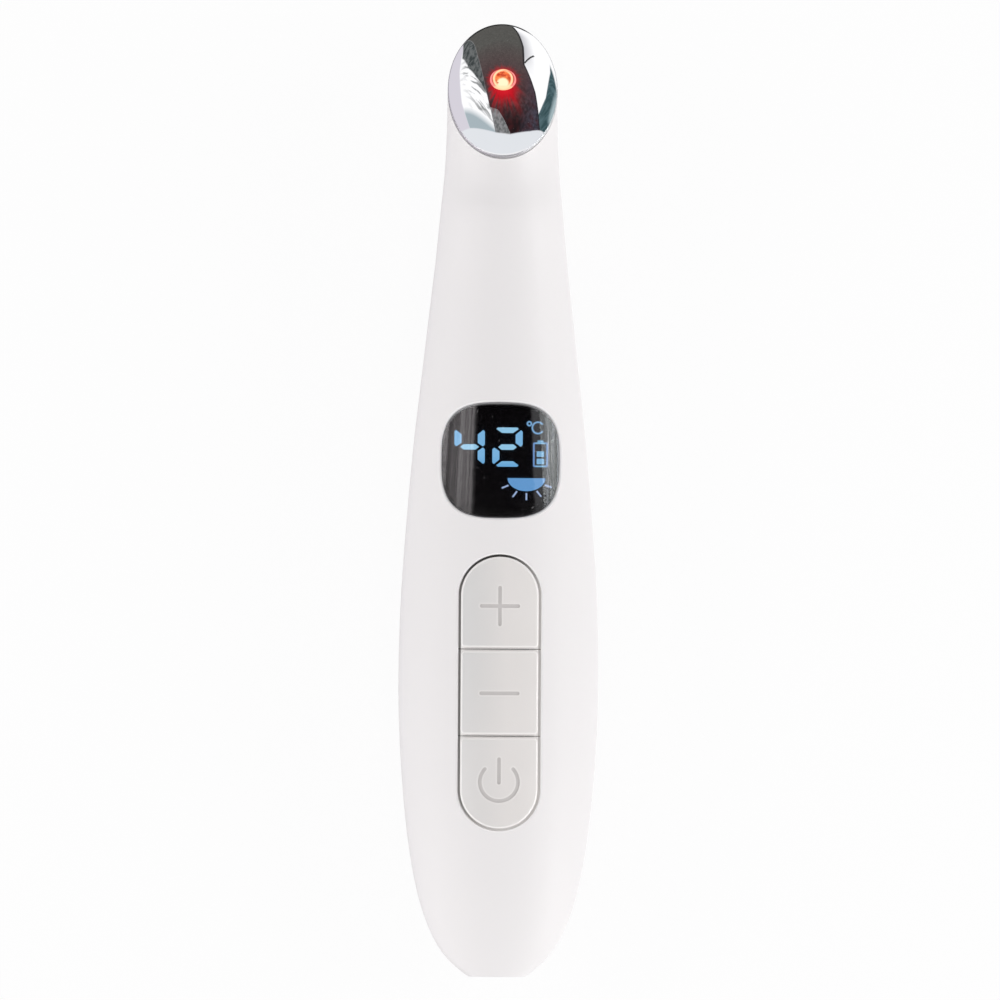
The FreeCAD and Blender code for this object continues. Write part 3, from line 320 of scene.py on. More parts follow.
def moulded(nodes, look):
    place = nodes.place()
    drift = nodes.noise(place, 1 / look["flow"], 1.0)
    grain = nodes.noise(place, 1 / look["grain"], 3.0)
    return {
        "Base Color": nodes.mix(drift, look["colour"], look["second"]),
        "Roughness": look["roughness"] + (grain - 0.5) * look["wander"],
        "Normal": nodes.bump(grain, look["depth"]),
    }


def casingWhite(nodes):
    values = moulded(nodes, casing)
    x, y, z = nodes.split(nodes.place())
    # painted highlight: lighter rims beside the key slot and the window, on the front only
    highlightRims = (
        (pastSlot(nodes, x, y), casing["slotEdge"]),
        (pastWindow(x, y), casing["windowEdge"]),
    )
    edge = 0.0
    for past, width in highlightRims:
        line = nodes.above(past, 0.01 * mm, 0.04 * mm) * nodes.below(past, width, 0.14 * mm)
        edge = nodes.maths("MAXIMUM", line, edge)
    edge = edge * (z > casing["edgesAbove"])
    values["Base Color"] = nodes.mix(edge * 0.85, values["Base Color"], casing["edge"])
    values["Specular IOR Level"] = casing["gloss"]
    return values


def fromMark(nodes, name, x, y):  # distance from the middle of the engraved stroke
    reach = (keys["arm"] - keys["stroke"]) / 2
    if name == "minus":
        return capsule(nodes, x, y, reach)
    if name == "plus":
        return nodes.maths("MINIMUM", capsule(nodes, x, y, reach), capsule(nodes, y, x, reach))
    middle = keys["ring"] - keys["stroke"] / 2
    turn = math.radians(keys["opening"] / 2)
    inOpening = y * math.tan(turn) > abs(x)
    ring = abs(nodes.length(x, y) - middle)
    ends = nodes.length(abs(x) - middle * math.sin(turn), y - middle * math.cos(turn))
    barY = y - (keys["ring"] - keys["bar"] / 2 + keys["stroke"])
    bar = capsule(nodes, barY, x, (keys["bar"] - keys["stroke"]) / 2)
    return nodes.maths("MINIMUM", ring + (ends - ring) * inOpening, bar)


def keyFinish(name):
    # the engraved mark over its own groove, painted highlights along the edges and round the mark, and
    # painted shade in the gaps
    def build(nodes):
        values = moulded(nodes, keys)
        x, y, _ = nodes.split(nodes.place((0, keys["centres"][name], 0)))
        away = fromMark(nodes, name, x, y) - keys["stroke"] / 2
        x, y, _ = nodes.split(nodes.place())
        past = pastSlot(nodes, x, y)
        fromGap = abs(abs(y - slotShape["middle"]) - keys["toGap"]) - keys["halfGap"]
        sideways = nodes.maths("MAXIMUM", keys["corner"] + keys["fromSlot"] + past, 0.0)
        along = nodes.maths("MAXIMUM", keys["corner"] - fromGap, 0.0)
        within = keys["corner"] - nodes.length(sideways, along)
        # painted shade: darker towards the left, most towards the head end
        leftShade = nodes.below(x, -2.5 * mm, 7 * mm) * (0.68 + 0.32 * nodes.above(y, -32 * mm, 18 * mm))
        colour = nodes.mix(leftShade, values["Base Color"], keys["leftShade"])
        # painted highlight along the key's rounded edges
        edge = nodes.below(within, keys["highlightWidth"], 0.14 * mm)
        colour = nodes.mix(edge * 0.8, colour, keys["edge"])
        gap = nodes.below(fromGap, -0.05 * mm, 0.10 * mm) * nodes.below(abs(x), 5.4 * mm, 0.5 * mm)
        colour = nodes.mix(gap, colour, keys["shade"])
        # painted highlight in a pale halo round the mark
        halo = nodes.below(away, 0.20 * mm, 0.20 * mm)
        colour = nodes.mix(halo * 0.35, colour, keys["edge"])
        values["Base Color"] = nodes.mix(nodes.below(away, 0.0, 0.10 * mm), colour, keys["mark"])
        # painted light glowing in the slot's gap, least at its top and its left
        down = (y - slotShape["middle"]) / (slotShape["straight"] + slotShape["half"])
        aside = x / slotShape["half"]
        light = 0.15 + aside * 0.09 - down * down * down * (0.18 - aside * aside * 0.145)
        light = nodes.maths("MAXIMUM", light, 0.0) * nodes.above(past, -0.30 * mm, 0.04 * mm)
        values["Emission Color"] = nodes.mix(light, unlit, keys["light"])
        values["Emission Strength"] = 1.0
        return values
    return newFinish(name + "Key", build)


coatings = {"white_plastic": newFinish("casingWhite", casingWhite)}
for name in keys["centres"]:
    coatings["key_plastic " + name] = keyFinish(name)

plastics = {
    # name, colour, second colour, roughness
    "dark_gasket": ("gasketGrey", (0.16, 0.16, 0.17), (0.12, 0.12, 0.13), 0.55),
    "carrier_plastic": ("carrierGrey", (0.42, 0.42, 0.43), (0.36, 0.36, 0.37), 0.48),
    "bead_black": ("beadBlack", (0.022, 0.022, 0.024), (0.035, 0.035, 0.038), 0.40),
    "black_tape": ("tapeBlack", (0.010, 0.010, 0.011), (0.020, 0.020, 0.022), 0.65),
    "display_body": ("displayBlack", (0.012, 0.012, 0.013), (0.022, 0.022, 0.024), 0.45),
    "plug_plastic": ("plugIvory", (0.72, 0.68, 0.58), (0.66, 0.61, 0.50), 0.42),
    "boot_rubber": ("bootRubber", (0.050, 0.050, 0.052), (0.075, 0.075, 0.078), 0.72),
    "switch_plastic": ("switchBlack", (0.025, 0.025, 0.026), (0.045, 0.045, 0.046), 0.38),
    "switch_stem": ("stemGrey", (0.30, 0.30, 0.31), (0.24, 0.24, 0.25), 0.36),
    "foam_tape": ("foamGrey", (0.20, 0.20, 0.21), (0.30, 0.30, 0.31), 0.90),
    "lead_red": ("leadRed", (0.55, 0.020, 0.016), (0.45, 0.014, 0.012), 0.36),
    "lead_black": ("leadBlack", (0.018, 0.018, 0.019), (0.030, 0.030, 0.032), 0.36),
    "lead_white": ("leadWhite", (0.74, 0.73, 0.70), (0.66, 0.65, 0.61), 0.36),
    "lead_yellow": ("leadYellow", (0.72, 0.50, 0.045), (0.62, 0.41, 0.030), 0.36),
}
for slot, (name, colour, second, roughness) in plastics.items():
    look = dict(colour=colour, second=second, flow=2.5 * mm, grain=0.15 * mm,
                roughness=roughness, wander=0.14, depth=0.004 * mm)
    coatings[slot] = newFinish(name, lambda nodes, look=look: moulded(nodes, look))
print("plastics ready")


# metals

metals = {
    # name, colour, worn colour, roughness, stretch of the brushing along X, Y, Z
    "steel_screws": ("screwZinc", (0.60, 0.60, 0.58), (0.45, 0.44, 0.41), 0.30, (1, 1, 6)),
    "tinned_metal": ("tinPlate", (0.66, 0.66, 0.65), (0.54, 0.54, 0.53), 0.26, (6, 1, 6)),
    "contact_gold": ("contactGold", (0.86, 0.62, 0.24), (0.72, 0.47, 0.16), 0.22, (8, 1, 8)),
    "motor_steel": ("motorSteel", (0.56, 0.56, 0.57), (0.44, 0.44, 0.45), 0.30, (1, 7, 1)),
}


def brushed(nodes, look):
    colour, worn, roughness, stretch = look[1:]
    place = nodes.place()
    strokes = nodes.noise(nodes.stretched(place, stretch), 2200, 4.0)
    stain = nodes.noise(place, 420, 3.0)
    return {
        "Base Color": nodes.mix(stain, colour, worn),
        "Metallic": 1.0,
        "Roughness": roughness + (strokes - 0.5) * 0.16 + (stain - 0.5) * 0.10,
        "Normal": nodes.bump(strokes, 0.003 * mm),
    }


for slot, look in metals.items():
    coatings[slot] = newFinish(look[0], lambda nodes, look=look: brushed(nodes, look))
print("metals ready")


# inside: board, chip, battery, heater and motor finishes

board = {
    "mask": (0.010, 0.085, 0.030),
    "track": (0.030, 0.200, 0.070),  # copper under the mask
    "pad": (0.72, 0.58, 0.30),
    "halfPitch": 0.45 * mm,
    "trackWidth": 0.13 * mm,
    "padShare": 0.13,  # of the way from one pad to the next
}


def boardGreen(nodes):
    place = nodes.place()
    x, y, _ = nodes.split(place)
    turned = nodes.noise(place, 320, 0.0) > 0.5
    along = nodes.maths("PINGPONG", x, board["halfPitch"])
    crossing = nodes.maths("PINGPONG", y, board["halfPitch"])
    line = along + (crossing - along) * turned < board["trackWidth"]
    dots = nodes.add(
        "ShaderNodeTexVoronoi",
        {"feature": "F1"},
        {"Vector": place, "Scale": 420.0, "Randomness": 0.75},
        out="Distance",
    )
    pad = dots < board["padShare"]
    mask = nodes.mix(line * 0.55, board["mask"], board["track"])
    return {
        "Base Color": nodes.mix(pad, mask, board["pad"]),
        "Metallic": pad * 0.9,
        "Roughness": 0.34 + nodes.noise(place, 3000, 2.0) * 0.12,
        "Normal": nodes.bump(nodes.maths("MAXIMUM", line * 0.6, pad), 0.02 * mm),
    }


chip = {
    "colour": (0.020, 0.020, 0.021),
    "centre": (0, 4.5 * mm, 10.5 * mm),
    "dot": (-2.6 * mm, -2.6 * mm),
    "dotRadius": 0.32 * mm,
    "dotColour": (0.080, 0.080, 0.082),
}


def chipBlack(nodes):
    place = nodes.place(chip["centre"])
    x, y, _ = nodes.split(place)
    fromDot = nodes.length(x - chip["dot"][0], y - chip["dot"][1])
    dot = fromDot < chip["dotRadius"]
    sand = nodes.noise(place, 9000, 3.0)
    return {
        "Base Color": nodes.mix(dot, chip["colour"], chip["dotColour"]),
        "Roughness": 0.50 + (sand - 0.5) * 0.2 - dot * 0.22,
        "Normal": nodes.bump(sand - dot, 0.006 * mm),
    }


bodyColours = [(0.0, (0.40, 0.27, 0.13)), (0.47, (0.05, 0.05, 0.055)), (0.56, (0.30, 0.29, 0.27))]


def chipParts(nodes):  # bodies vary from tan over black to grey
    place = nodes.place()
    kind = nodes.noise(place, 190, 0.0)
    ramp = nodes.add("ShaderNodeValToRGB", {"stops": bodyColours}, {"Fac": kind})
    grain = nodes.noise(place, 5000, 2.0)
    return {
        "Base Color": nodes.mix(grain * 0.3, ramp, (0.60, 0.60, 0.60)),
        "Roughness": 0.38 + grain * 0.15,
        "Normal": nodes.bump(grain, 0.004 * mm),
    }


battery = {
    "foil": (0.62, 0.63, 0.65),
    # painted shade, darker along the creases
    "creaseShade": (0.42, 0.43, 0.45),
    "tape": (0.62, 0.36, 0.05),
    "tapeFrom": -17.5 * mm,
}


def batteryFoil(nodes):
    place = nodes.place()
    _, y, _ = nodes.split(place)
    creases = nodes.noise(nodes.stretched(place, (1.0, 0.5, 1.0)), 360, 4.0, Distortion=0.6)
    tape = y > battery["tapeFrom"]
    foil = nodes.mix(creases * 0.4, battery["foil"], battery["creaseShade"])
    return {
        "Base Color": nodes.mix(tape, foil, battery["tape"]),
        "Metallic": 0.95 - tape * 0.85,
        "Roughness": 0.30 + creases * 0.18,
        "Normal": nodes.bump(creases, 0.10 * mm, 0.5),
    }


head = {
    "centre": (0, 61.912 * mm, 17.70 * mm),
    "turn": (math.radians(-35.0), 0, 0),
    "halfWidth": 8.35 * mm,
    "halfLength": 12.40 * mm,
}


def headPolar(nodes):  # the tilted head's own coordinates, and the distance from its middle
    place = nodes.place(head["centre"], head["turn"])
    x, y, _ = nodes.split(place)
    return place, x, y, nodes.length(x, y)


heater = {
    "film": (0.50, 0.22, 0.020),
    "filmPale": (0.62, 0.30, 0.035),
    "track": (0.24, 0.13, 0.06),
    "halfPitch": 0.55 * mm,
    "halfLength": 8.6 * mm,
    "offset": -0.1 * mm,
}


def heaterAmber(nodes):  # etched track between two amber films
    place = nodes.place(head["centre"], head["turn"])
    x, y, _ = nodes.split(place)
    wave = nodes.maths("PINGPONG", x + heater["offset"], heater["halfPitch"]) / heater["halfPitch"]
    track = nodes.above(wave, 0.55, 0.12) * (abs(y) < heater["halfLength"])
    cloud = nodes.noise(place, 600, 3.0)
    film = nodes.mix(cloud, heater["film"], heater["filmPale"])
    return {
        "Base Color": nodes.mix(track * 0.8, film, heater["track"]),
        "Roughness": 0.26 + cloud * 0.14,
        "Normal": nodes.bump(track, 0.02 * mm),
    }


winding = {
    # painted shade, darker in the grooves between the strands
    "groove": (0.30, 0.085, 0.030),
    "wire": (0.80, 0.34, 0.16),
    "gap": (0.10, 0.10, 0.11),
    "gapShare": 0.14,
    "axis": (0, 33.5 * mm, 12.5 * mm),
    "turns": 54,
    "poles": 3,
}


def copperWinding(nodes):
    place = nodes.place(winding["axis"])
    x, _, z = nodes.split(place)
    angle = nodes.maths("ARCTAN2", x, z) / (2 * math.pi) + 0.5
    strand = nodes.maths("PINGPONG", angle * winding["turns"], 0.5) * 2
    pole = nodes.maths("PINGPONG", angle * winding["poles"], 0.5) * 2
    wire = nodes.mix(strand, winding["groove"], winding["wire"])
    return {
        "Base Color": nodes.mix(pole < winding["gapShare"], wire, winding["gap"]),
        "Metallic": 0.85,
        "Roughness": 0.34 + nodes.noise(place, 2500, 2.0) * 0.12,
        "Normal": nodes.bump(strand, 0.05 * mm),
    }


led = {
    "housing": (0.72, 0.70, 0.66),
    "gel": (0.9, 0.10, 0.05),
    "gelRadius": 1.05 * mm,
    "light": (1.0, 0.16, 0.06),
}


def ledWhite(nodes):  # the housing, with the lit gel in its middle
    place, _, _, radius = headPolar(nodes)
    lit = nodes.below(radius, led["gelRadius"], 0.2 * mm)
    grain = nodes.noise(place, 6000, 2.0)
    return {
        "Base Color": nodes.mix(lit, led["housing"], led["gel"]),
        "Roughness": 0.35 + grain * 0.12,
        "Emission Color": nodes.mix(lit, unlit, led["light"]),
        "Emission Strength": 1.0,
    }


for slot, name, build in (
    ("circuit_board", "boardGreen", boardGreen),
    ("chip_black", "chipBlack", chipBlack),
    ("chip_parts", "chipParts", chipParts),
    ("battery_foil", "batteryFoil", batteryFoil),
    ("heater_film", "heaterAmber", heaterAmber),
    ("copper_winding", "copperWinding", copperWinding),
    ("led_body", "ledWhite", ledWhite),
):
    coatings[slot] = newFinish(name, build)
print("inside finishes ready")


# display: lit figures behind a smoked lens

lens = {
    "colour": (0.0025, 0.0020, 0.0025),
    "cover": 0.60,  # how much of what is behind it each face of the lens hides
    # painted reflection along the lens's edge
    "edge": (0.450, 0.450, 0.460),
    # painted reflection in streaks towards the lens's right side
    "streak": (0.300, 0.320, 0.350),
    "streakReflectionFrom": 6.9 * mm,
    "roughness": 0.045,
}

readout = {
    "bars": (0.290, 0.565, 0.770),
    "posts": (0.190, 0.440, 0.715),
    "low": (0.130, 0.375, 0.665),
    "frame": (0.105, 0.225, 0.470),
    "cells": (0.170, 0.395, 0.600),
    "letter": (0.165, 0.350, 0.570),
    "lamp": (0.115, 0.300, 0.580),
    "rays": (0.330, 0.420, 0.620),
    "cloud": (0.20, 0.42, 0.66),  # unevenness of the light
    "iconCloud": (0.16, 0.34, 0.66),
    "film": (0.02, 0.03, 0.04),
    "between": -1.845 * mm,  # halfway from one figure to the other
    "apart": 2.875 * mm,  # from there to a figure's middle
    "row": 8.10 * mm,
    "postTop": (1.24 * mm, 0.757),  # height over the row and slant of a post's ends
    "postFoot": (1.32 * mm, 0.748),
    "lampCentre": (3.95 * mm, 3.40 * mm),
    "lampSize": (2.88 * mm, 1.98 * mm),
    "lampTop": 4.2 * mm,
    "batteryTop": 9.5 * mm,  # letters above, battery below
    "cellHalfWidth": 0.75 * mm,
    "cellCentre": 6.06 * mm,
    "strength": 1 / (1 - lens["cover"]) ** 2,  # makes up for both faces of the lens
}


def smokedLens(nodes):
    place = nodes.place()
    x, y, _ = nodes.split(place)
    haze = nodes.noise(place, 900, 3.0)
    # painted reflection: the edge is paler, most at the end beside the head
    edge = nodes.above(pastWindow(x, y), -0.20 * mm, 0.40 * mm)
    edge = edge * edge * (0.15 + 0.85 * nodes.above(y, windowShape["middle"] + 4 * mm, 6 * mm))
    dust = nodes.above(nodes.noise(place, 1300, 1.0), 0.765, 0.03) * 0.4
    # painted reflection in streaks towards the right side
    streaks = nodes.noise(nodes.stretched(place, (1.0, 0.030, 0.0)), 2600, 2.0)
    streaks = nodes.above(streaks, 0.52, 0.16) * nodes.above(x, lens["streakReflectionFrom"], 1.0 * mm)
    colour = nodes.mix(streaks * 0.75, lens["colour"], lens["streak"])
    return {
        "Base Color": nodes.mix(nodes.maths("MAXIMUM", edge, dust), colour, lens["edge"]),
        "Roughness": lens["roughness"] + haze * 0.03,
        "IOR": 1.52,
        "Alpha": nodes.maths("MAXIMUM", edge, lens["cover"]),
    }


def litFigures(nodes):
    place = nodes.place()
    x, y, _ = nodes.split(place)
    sideways = abs(abs(x - readout["between"]) - readout["apart"])  # from a figure's middle
    upwards = abs(y - readout["row"])
    (top, topSlant), (foot, footSlant) = readout["postTop"], readout["postFoot"]
    post = (upwards < top + sideways * topSlant) * (upwards > foot - sideways * footSlant)
    cloud = nodes.noise(place, 700, 2.0)
    light = nodes.mix(post, readout["bars"], readout["posts"])
    light = nodes.mix(nodes.below(y, readout["row"] - 2.0 * mm, 1.5 * mm), light, readout["low"])
    return {
        "Base Color": readout["film"],
        "Roughness": 0.4 + cloud * 0.1,
        "Emission Color": nodes.mix(cloud * 0.3, light, readout["cloud"]),
        "Emission Strength": readout["strength"],
    }


def litIcons(nodes):
    place = nodes.place()
    x, y, _ = nodes.split(place)
    wide, high = readout["lampSize"]
    dx, dy = (x - readout["lampCentre"][0]) / wide, (y - readout["lampCentre"][1]) / high
    outside = dx * dx + dy * dy > 1.03
    lamp = nodes.mix(outside, readout["lamp"], readout["rays"])
    cell = abs(x - readout["cellCentre"]) < readout["cellHalfWidth"]
    batteryLight = nodes.mix(cell, readout["frame"], readout["cells"])
    upper = nodes.mix(y > readout["batteryTop"], batteryLight, readout["letter"])
    light = nodes.mix(y > readout["lampTop"], lamp, upper)
    cloud = nodes.noise(place, 900, 2.0)
    return {
        "Base Color": readout["film"],
        "Roughness": 0.4 + cloud * 0.1,
        "Emission Color": nodes.mix(cloud * 0.3, light, readout["iconCloud"]),
        "Emission Strength": readout["strength"],
    }


coatings["smoked_lens"] = newFinish("lensSmoke", smokedLens)
coatings["display_light digits"] = newFinish("figuresBlue", litFigures)
coatings["display_light icons"] = newFinish("iconsBlue", litIcons)
print("display ready")


# light in the head: red lens, and its glow painted on the plate

glow = {
    "red": (0.62, 0.010, 0.020),
    "lensRadius": 1.95 * mm,
    "reachAbove": 0.50 * mm,
    "reachBelow": 2.00 * mm,
    "rays": 7.0,
    "leftEnd": -2.60 * mm,  # no glow to the left of this line
    "lean": 0.17,  # how far the line goes left for each length up
}

redLens = {
    "outer": (0.93, 0.36, 0.34),
    "outerRadius": 1.84 * mm,
    "outerWidth": 0.24 * mm,
    "inner": (1.0, 0.78, 0.45),
    "innerRadius": 1.38 * mm,
    "innerWidth": 0.30 * mm,
    "innerOval": 0.68,  # 1 is round, less is longer up and down
    "between": (0.42, 0.030, 0.030),
    "halo": (1.0, 0.45, 0.14),
    "line": (0.26, 0.07, 0.035),  # dark line between the two rings, at the upper right
    "lineRadius": 1.63 * mm,
    "orange": (0.93, 0.24, 0.07),
    "ember": (0.42, 0.045, 0.015),
    "core": (1.0, 0.95, 0.62),
    "coreCentre": (-0.02 * mm, -0.78 * mm),
    "coreRadius": 0.86 * mm,
    "speck": (-0.80 * mm, -0.75 * mm),
    "gel": (0.20, 0.010, 0.008),
    "gelPale": (0.45, 0.08, 0.05),
}


def redLight(nodes):
    place, x, y, radius = headPolar(nodes)
    wobble = (nodes.noise(place, 700, 2.0) - 0.5) * 0.35 * mm
    flecks = nodes.noise(place, 1500, 3.0)
    outer = nodes.below(abs(radius - redLens["outerRadius"]), redLens["outerWidth"] / 2, 0.16 * mm)
    oval = nodes.maths("SQRT", x * x + y * y * redLens["innerOval"])
    inner = abs(oval + wobble * 0.4 - redLens["innerRadius"])
    inner = nodes.below(inner, redLens["innerWidth"] / 2, 0.20 * mm)
    upperRight = nodes.above((x + y * 0.7) / redLens["lineRadius"], 0.72, 0.30)
    line = nodes.below(abs(radius - redLens["lineRadius"]), 0.06 * mm, 0.10 * mm) * upperRight
    core = nodes.length(x - redLens["coreCentre"][0], y - redLens["coreCentre"][1]) + wobble
    halo = nodes.below(core, redLens["coreRadius"] * 1.2, 0.7 * mm)
    core = nodes.below(core, redLens["coreRadius"], 0.30 * mm)
    fromSpeck = nodes.length(x - redLens["speck"][0], y - redLens["speck"][1])
    speck = nodes.below(fromSpeck, 0.13 * mm, 0.12 * mm)
    light = nodes.mix(nodes.above(flecks, 0.50, 0.16), redLens["orange"], redLens["ember"])
    light = nodes.mix(halo * 0.7, light, redLens["halo"])
    light = nodes.mix(nodes.above(oval, 1.50 * mm, 0.10 * mm), light, redLens["between"])
    atSides = nodes.above(abs(x) / redLens["outerRadius"], 0.60, 0.5)
    light = nodes.mix(outer * atSides, light, redLens["outer"])
    light = nodes.mix(inner * 0.95, light, redLens["inner"])
    light = nodes.mix(core, light, redLens["core"])
    light = nodes.mix(nodes.below(y, -1.30 * mm, 0.30 * mm) * 0.8, light, redLens["inner"])
    light = nodes.mix(line * 0.8, light, redLens["line"])
    light = nodes.mix(speck * 0.85, light, redLens["ember"])
    return {
        "Base Color": nodes.mix(inner, redLens["gel"], redLens["gelPale"]),
        "Roughness": 0.08 + flecks * 0.05,
        "Emission Color": light,
        "Emission Strength": 1.0,
    }


polish = {
    "metal": (0.92, 0.92, 0.925),
    "smear": (0.86, 0.86, 0.87),
    "lit": (0.70, 0.10, 0.12),  # painted red glow tinting the metal
    "rim": (0.50, 0.49, 0.51),
    "rimPale": (0.80, 0.80, 0.80),  # painted reflection, paler to the right
    "rimDark": (0.09, 0.09, 0.09),  # painted reflection, darker at the top
    "rimWidth": 0.13 * mm,
    "topWidth": 0.30 * mm,  # more at the top
}


def polishedPlate(nodes):
    place, x, y, radius = headPolar(nodes)
    smear = nodes.noise(nodes.stretched(place, (1.0, 0.35, 1.0)), 220, 4.0)
    dust = nodes.noise(place, 5200, 2.0)
    # painted light: the plate itself glows red round the lens, reaching furthest below it
    angle = nodes.maths("ARCTAN2", x, y)
    around = nodes.vector(nodes.maths("SINE", angle), nodes.maths("COSINE", angle), 0.0)
    rays = nodes.above(nodes.noise(around, glow["rays"], 3.0), 0.50, 0.34)
    under = nodes.below(y / radius, -0.72, 0.56)
    reach = glow["reachAbove"] + (glow["reachBelow"] - glow["reachAbove"]) * under
    fade = nodes.maths("MAXIMUM", radius - glow["lensRadius"], 0.0) / (reach * (0.55 + 0.95 * rays))
    light = nodes.maths("EXPONENT", fade * fade * -1.0) * (0.42 + 0.58 * under)
    light = light * nodes.above(x + y * glow["lean"], glow["leftEnd"], 0.30 * mm)
    metal = nodes.mix(smear * 0.5, polish["metal"], polish["smear"])
    # painted red glow tinting the metal
    metal = nodes.mix(nodes.maths("MINIMUM", light * 1.4, 1.0), metal, polish["lit"])
    # the rim is satin and its colour a painted reflection: darker and wider at the top, paler to the right
    share = nodes.length(x / head["halfWidth"], y / head["halfLength"])
    top = nodes.above(y - abs(x + 1.5 * mm) * 1.2, 4 * mm, 3 * mm)
    width = polish["rimWidth"] + top * polish["topWidth"]
    rim = nodes.below(radius / share - radius, width, 0.08 * mm)
    rimReflection = nodes.mix(nodes.above(x, 5 * mm, 5 * mm), polish["rim"], polish["rimPale"])
    rimReflection = nodes.mix(top, rimReflection, polish["rimDark"])
    return {
        "Base Color": nodes.mix(rim, metal, rimReflection),
        "Metallic": 1.0,
        "Roughness": 0.018 + nodes.above(smear, 0.62, 0.3) * 0.03 + dust * 0.008 + rim * 0.42,
        "Emission Color": nodes.mix(light, unlit, glow["red"]),
        "Emission Strength": 1.0,
    }


coatings["led_lens"] = newFinish("lensRed", redLight)
coatings["chrome"] = newFinish("plateChrome", polishedPlate)


# every CAD node gets its finish

for part in frame["record"]["subparts"]:
    node, slot = part["node"], part["material_slot"]
    special = slot + " " + node.split("_")[-1]
    coat(node, coatings.get(special) or coatings[slot])


# massage plate: an oval dome with a round hole, as a geometry tree

plate = {
    "Half Width": head["halfWidth"],
    "Half Length": head["halfLength"],
    "Dome Height": 2.795 * mm,
    "Rim Height": 0.745 * mm,
    "Band Depth": 0.40 * mm,
    "Hole Radius": 2.00 * mm,
    "Slope": math.radians(60.0),  # the dome is a slice of a ball of this half angle, stretched
    "Rings": 56,
    "Segments": 160,
    "Finish": coatings["chrome"],
}
plateWall = 0.80 * mm
plateEdge = 0.22 * mm


def domedPlate():
    nodes, size = newTree("domedPlate", plate)
    grid = nodes.add("GeometryNodeMeshGrid", None, {
        "Size X": 1.0, "Size Y": 1.0,
        "Vertices X": size["Rings"] + 2, "Vertices Y": size["Segments"] + 1,
    })
    u, v, _ = nodes.split(nodes.add("GeometryNodeInputPosition"))
    row = (u + 0.5) * (size["Rings"] + 1)  # the last row is the band's lower edge
    out = nodes.maths("MINIMUM", row / size["Rings"], 1.0)
    out = 1 - (1 - out) ** 1.4  # rings lie closer at the rim
    drop = nodes.maths("MAXIMUM", row - size["Rings"], 0.0)
    angle = (v + 0.5) * (2 * math.pi)
    cosine, sine = nodes.maths("COSINE", angle), nodes.maths("SINE", angle)
    x = cosine * (size["Hole Radius"] * (1 - out) + size["Half Width"] * out)
    y = sine * (size["Hole Radius"] * (1 - out) + size["Half Length"] * out)
    share = (x / size["Half Width"]) ** 2.0 + (y / size["Half Length"]) ** 2.0
    foot = nodes.maths("COSINE", size["Slope"])
    ball = nodes.maths("SQRT", 1 - share * nodes.maths("SINE", size["Slope"]) ** 2.0)
    z = size["Rim Height"] + size["Dome Height"] * ((ball - foot) / (1 - foot)) - drop * size["Band Depth"]
    place = nodes.vector(x, y, z)
    shape = nodes.add("GeometryNodeSetPosition", None, {"Geometry": grid, "Position": place})
    shape = nodes.add("GeometryNodeMergeByDistance", None, {"Geometry": shape, "Distance": 0.001 * mm})
    endTree(nodes, shape, size["Finish"])
    return nodes.tree


def thickenPlate(piece):
    wall = piece.modifiers.new("wall", "SOLIDIFY")
    wall.thickness, wall.offset, wall.use_even_offset = plateWall, -1.0, True
    edge = piece.modifiers.new("edge", "BEVEL")
    edge.width, edge.segments, edge.limit_method = plateEdge, 3, "ANGLE"
    edge.angle_limit, edge.harden_normals = math.radians(28.0), True


onHead = Matrix.Translation(head["centre"]) @ Matrix.Rotation(head["turn"][0], 4, "X")
massagePlate = grow("massagePlate", domedPlate(), plate, onHead, thickenPlate)
takePlace(massagePlate, "casing", "massage_plate")
print("plate ready:", len(massagePlate.data.polygons), "faces")


# bent strips: contacts in the charging port and legs round the chip

contacts = {
    "Count": 5, "Sides": 1,
    "Pitch": 0.65 * mm, "Width": 0.30 * mm, "Thickness": 0.09 * mm,
    "Start": -2.0 * mm, "Reach": 3.95 * mm, "Rise": 0.0, "Bow": 0.07 * mm,
    "Finish": coatings["contact_gold"],
}
legs = {
    "Count": 8, "Sides": 4,
    "Pitch": 0.80 * mm, "Width": 0.40 * mm, "Thickness": 0.12 * mm,
    "Start": 3.45 * mm, "Reach": 1.05 * mm, "Rise": 0.40 * mm, "Bow": 0.0,
    "Finish": coatings["tinned_metal"],
}


def bentStrips():
    # a strip runs outwards from Start, steps up by Rise, and is repeated along a side
    nodes, size = newTree("bentStrips", contacts)
    inner, outer = size["Start"], size["Start"] + size["Reach"]
    handle = size["Reach"] * 0.5
    lift = size["Rise"] + size["Bow"]
    line = nodes.add("GeometryNodeCurvePrimitiveBezierSegment", None, {
        "Resolution": 14,
        "Start": nodes.vector(inner, 0.0, 0.0),
        "Start Handle": nodes.vector(inner + handle, 0.0, size["Bow"]),
        "End Handle": nodes.vector(outer - handle, 0.0, lift),
        "End": nodes.vector(outer, 0.0, size["Rise"]),
    })
    section = nodes.add("GeometryNodeCurvePrimitiveQuadrilateral", None, {
        "Width": size["Width"], "Height": size["Thickness"],
    })
    strip = nodes.add("GeometryNodeCurveToMesh", None, {
        "Curve": line, "Profile Curve": section, "Fill Caps": True,
    })
    first = size["Pitch"] * (1 - size["Count"]) * 0.5
    row = nodes.add("GeometryNodeMeshLine", None, {
        "Count": size["Count"],
        "Start Location": nodes.vector(0.0, first, 0.0),
        "Offset": nodes.vector(0.0, size["Pitch"], 0.0),
    })
    side = nodes.add("GeometryNodeInstanceOnPoints", None, {"Points": row, "Instance": strip})
    corner = nodes.add("GeometryNodeMeshLine", None, {"Count": size["Sides"], "Offset": (0, 0, 0)})
    quarter = nodes.add("GeometryNodeInputIndex") * (math.pi / 2)
    around = nodes.add("GeometryNodeInstanceOnPoints", None, {
        "Points": corner, "Instance": side, "Rotation": nodes.vector(0.0, 0.0, quarter),
    })
    endTree(nodes, around, size["Finish"])
    return nodes.tree


stripTree = bentStrips()


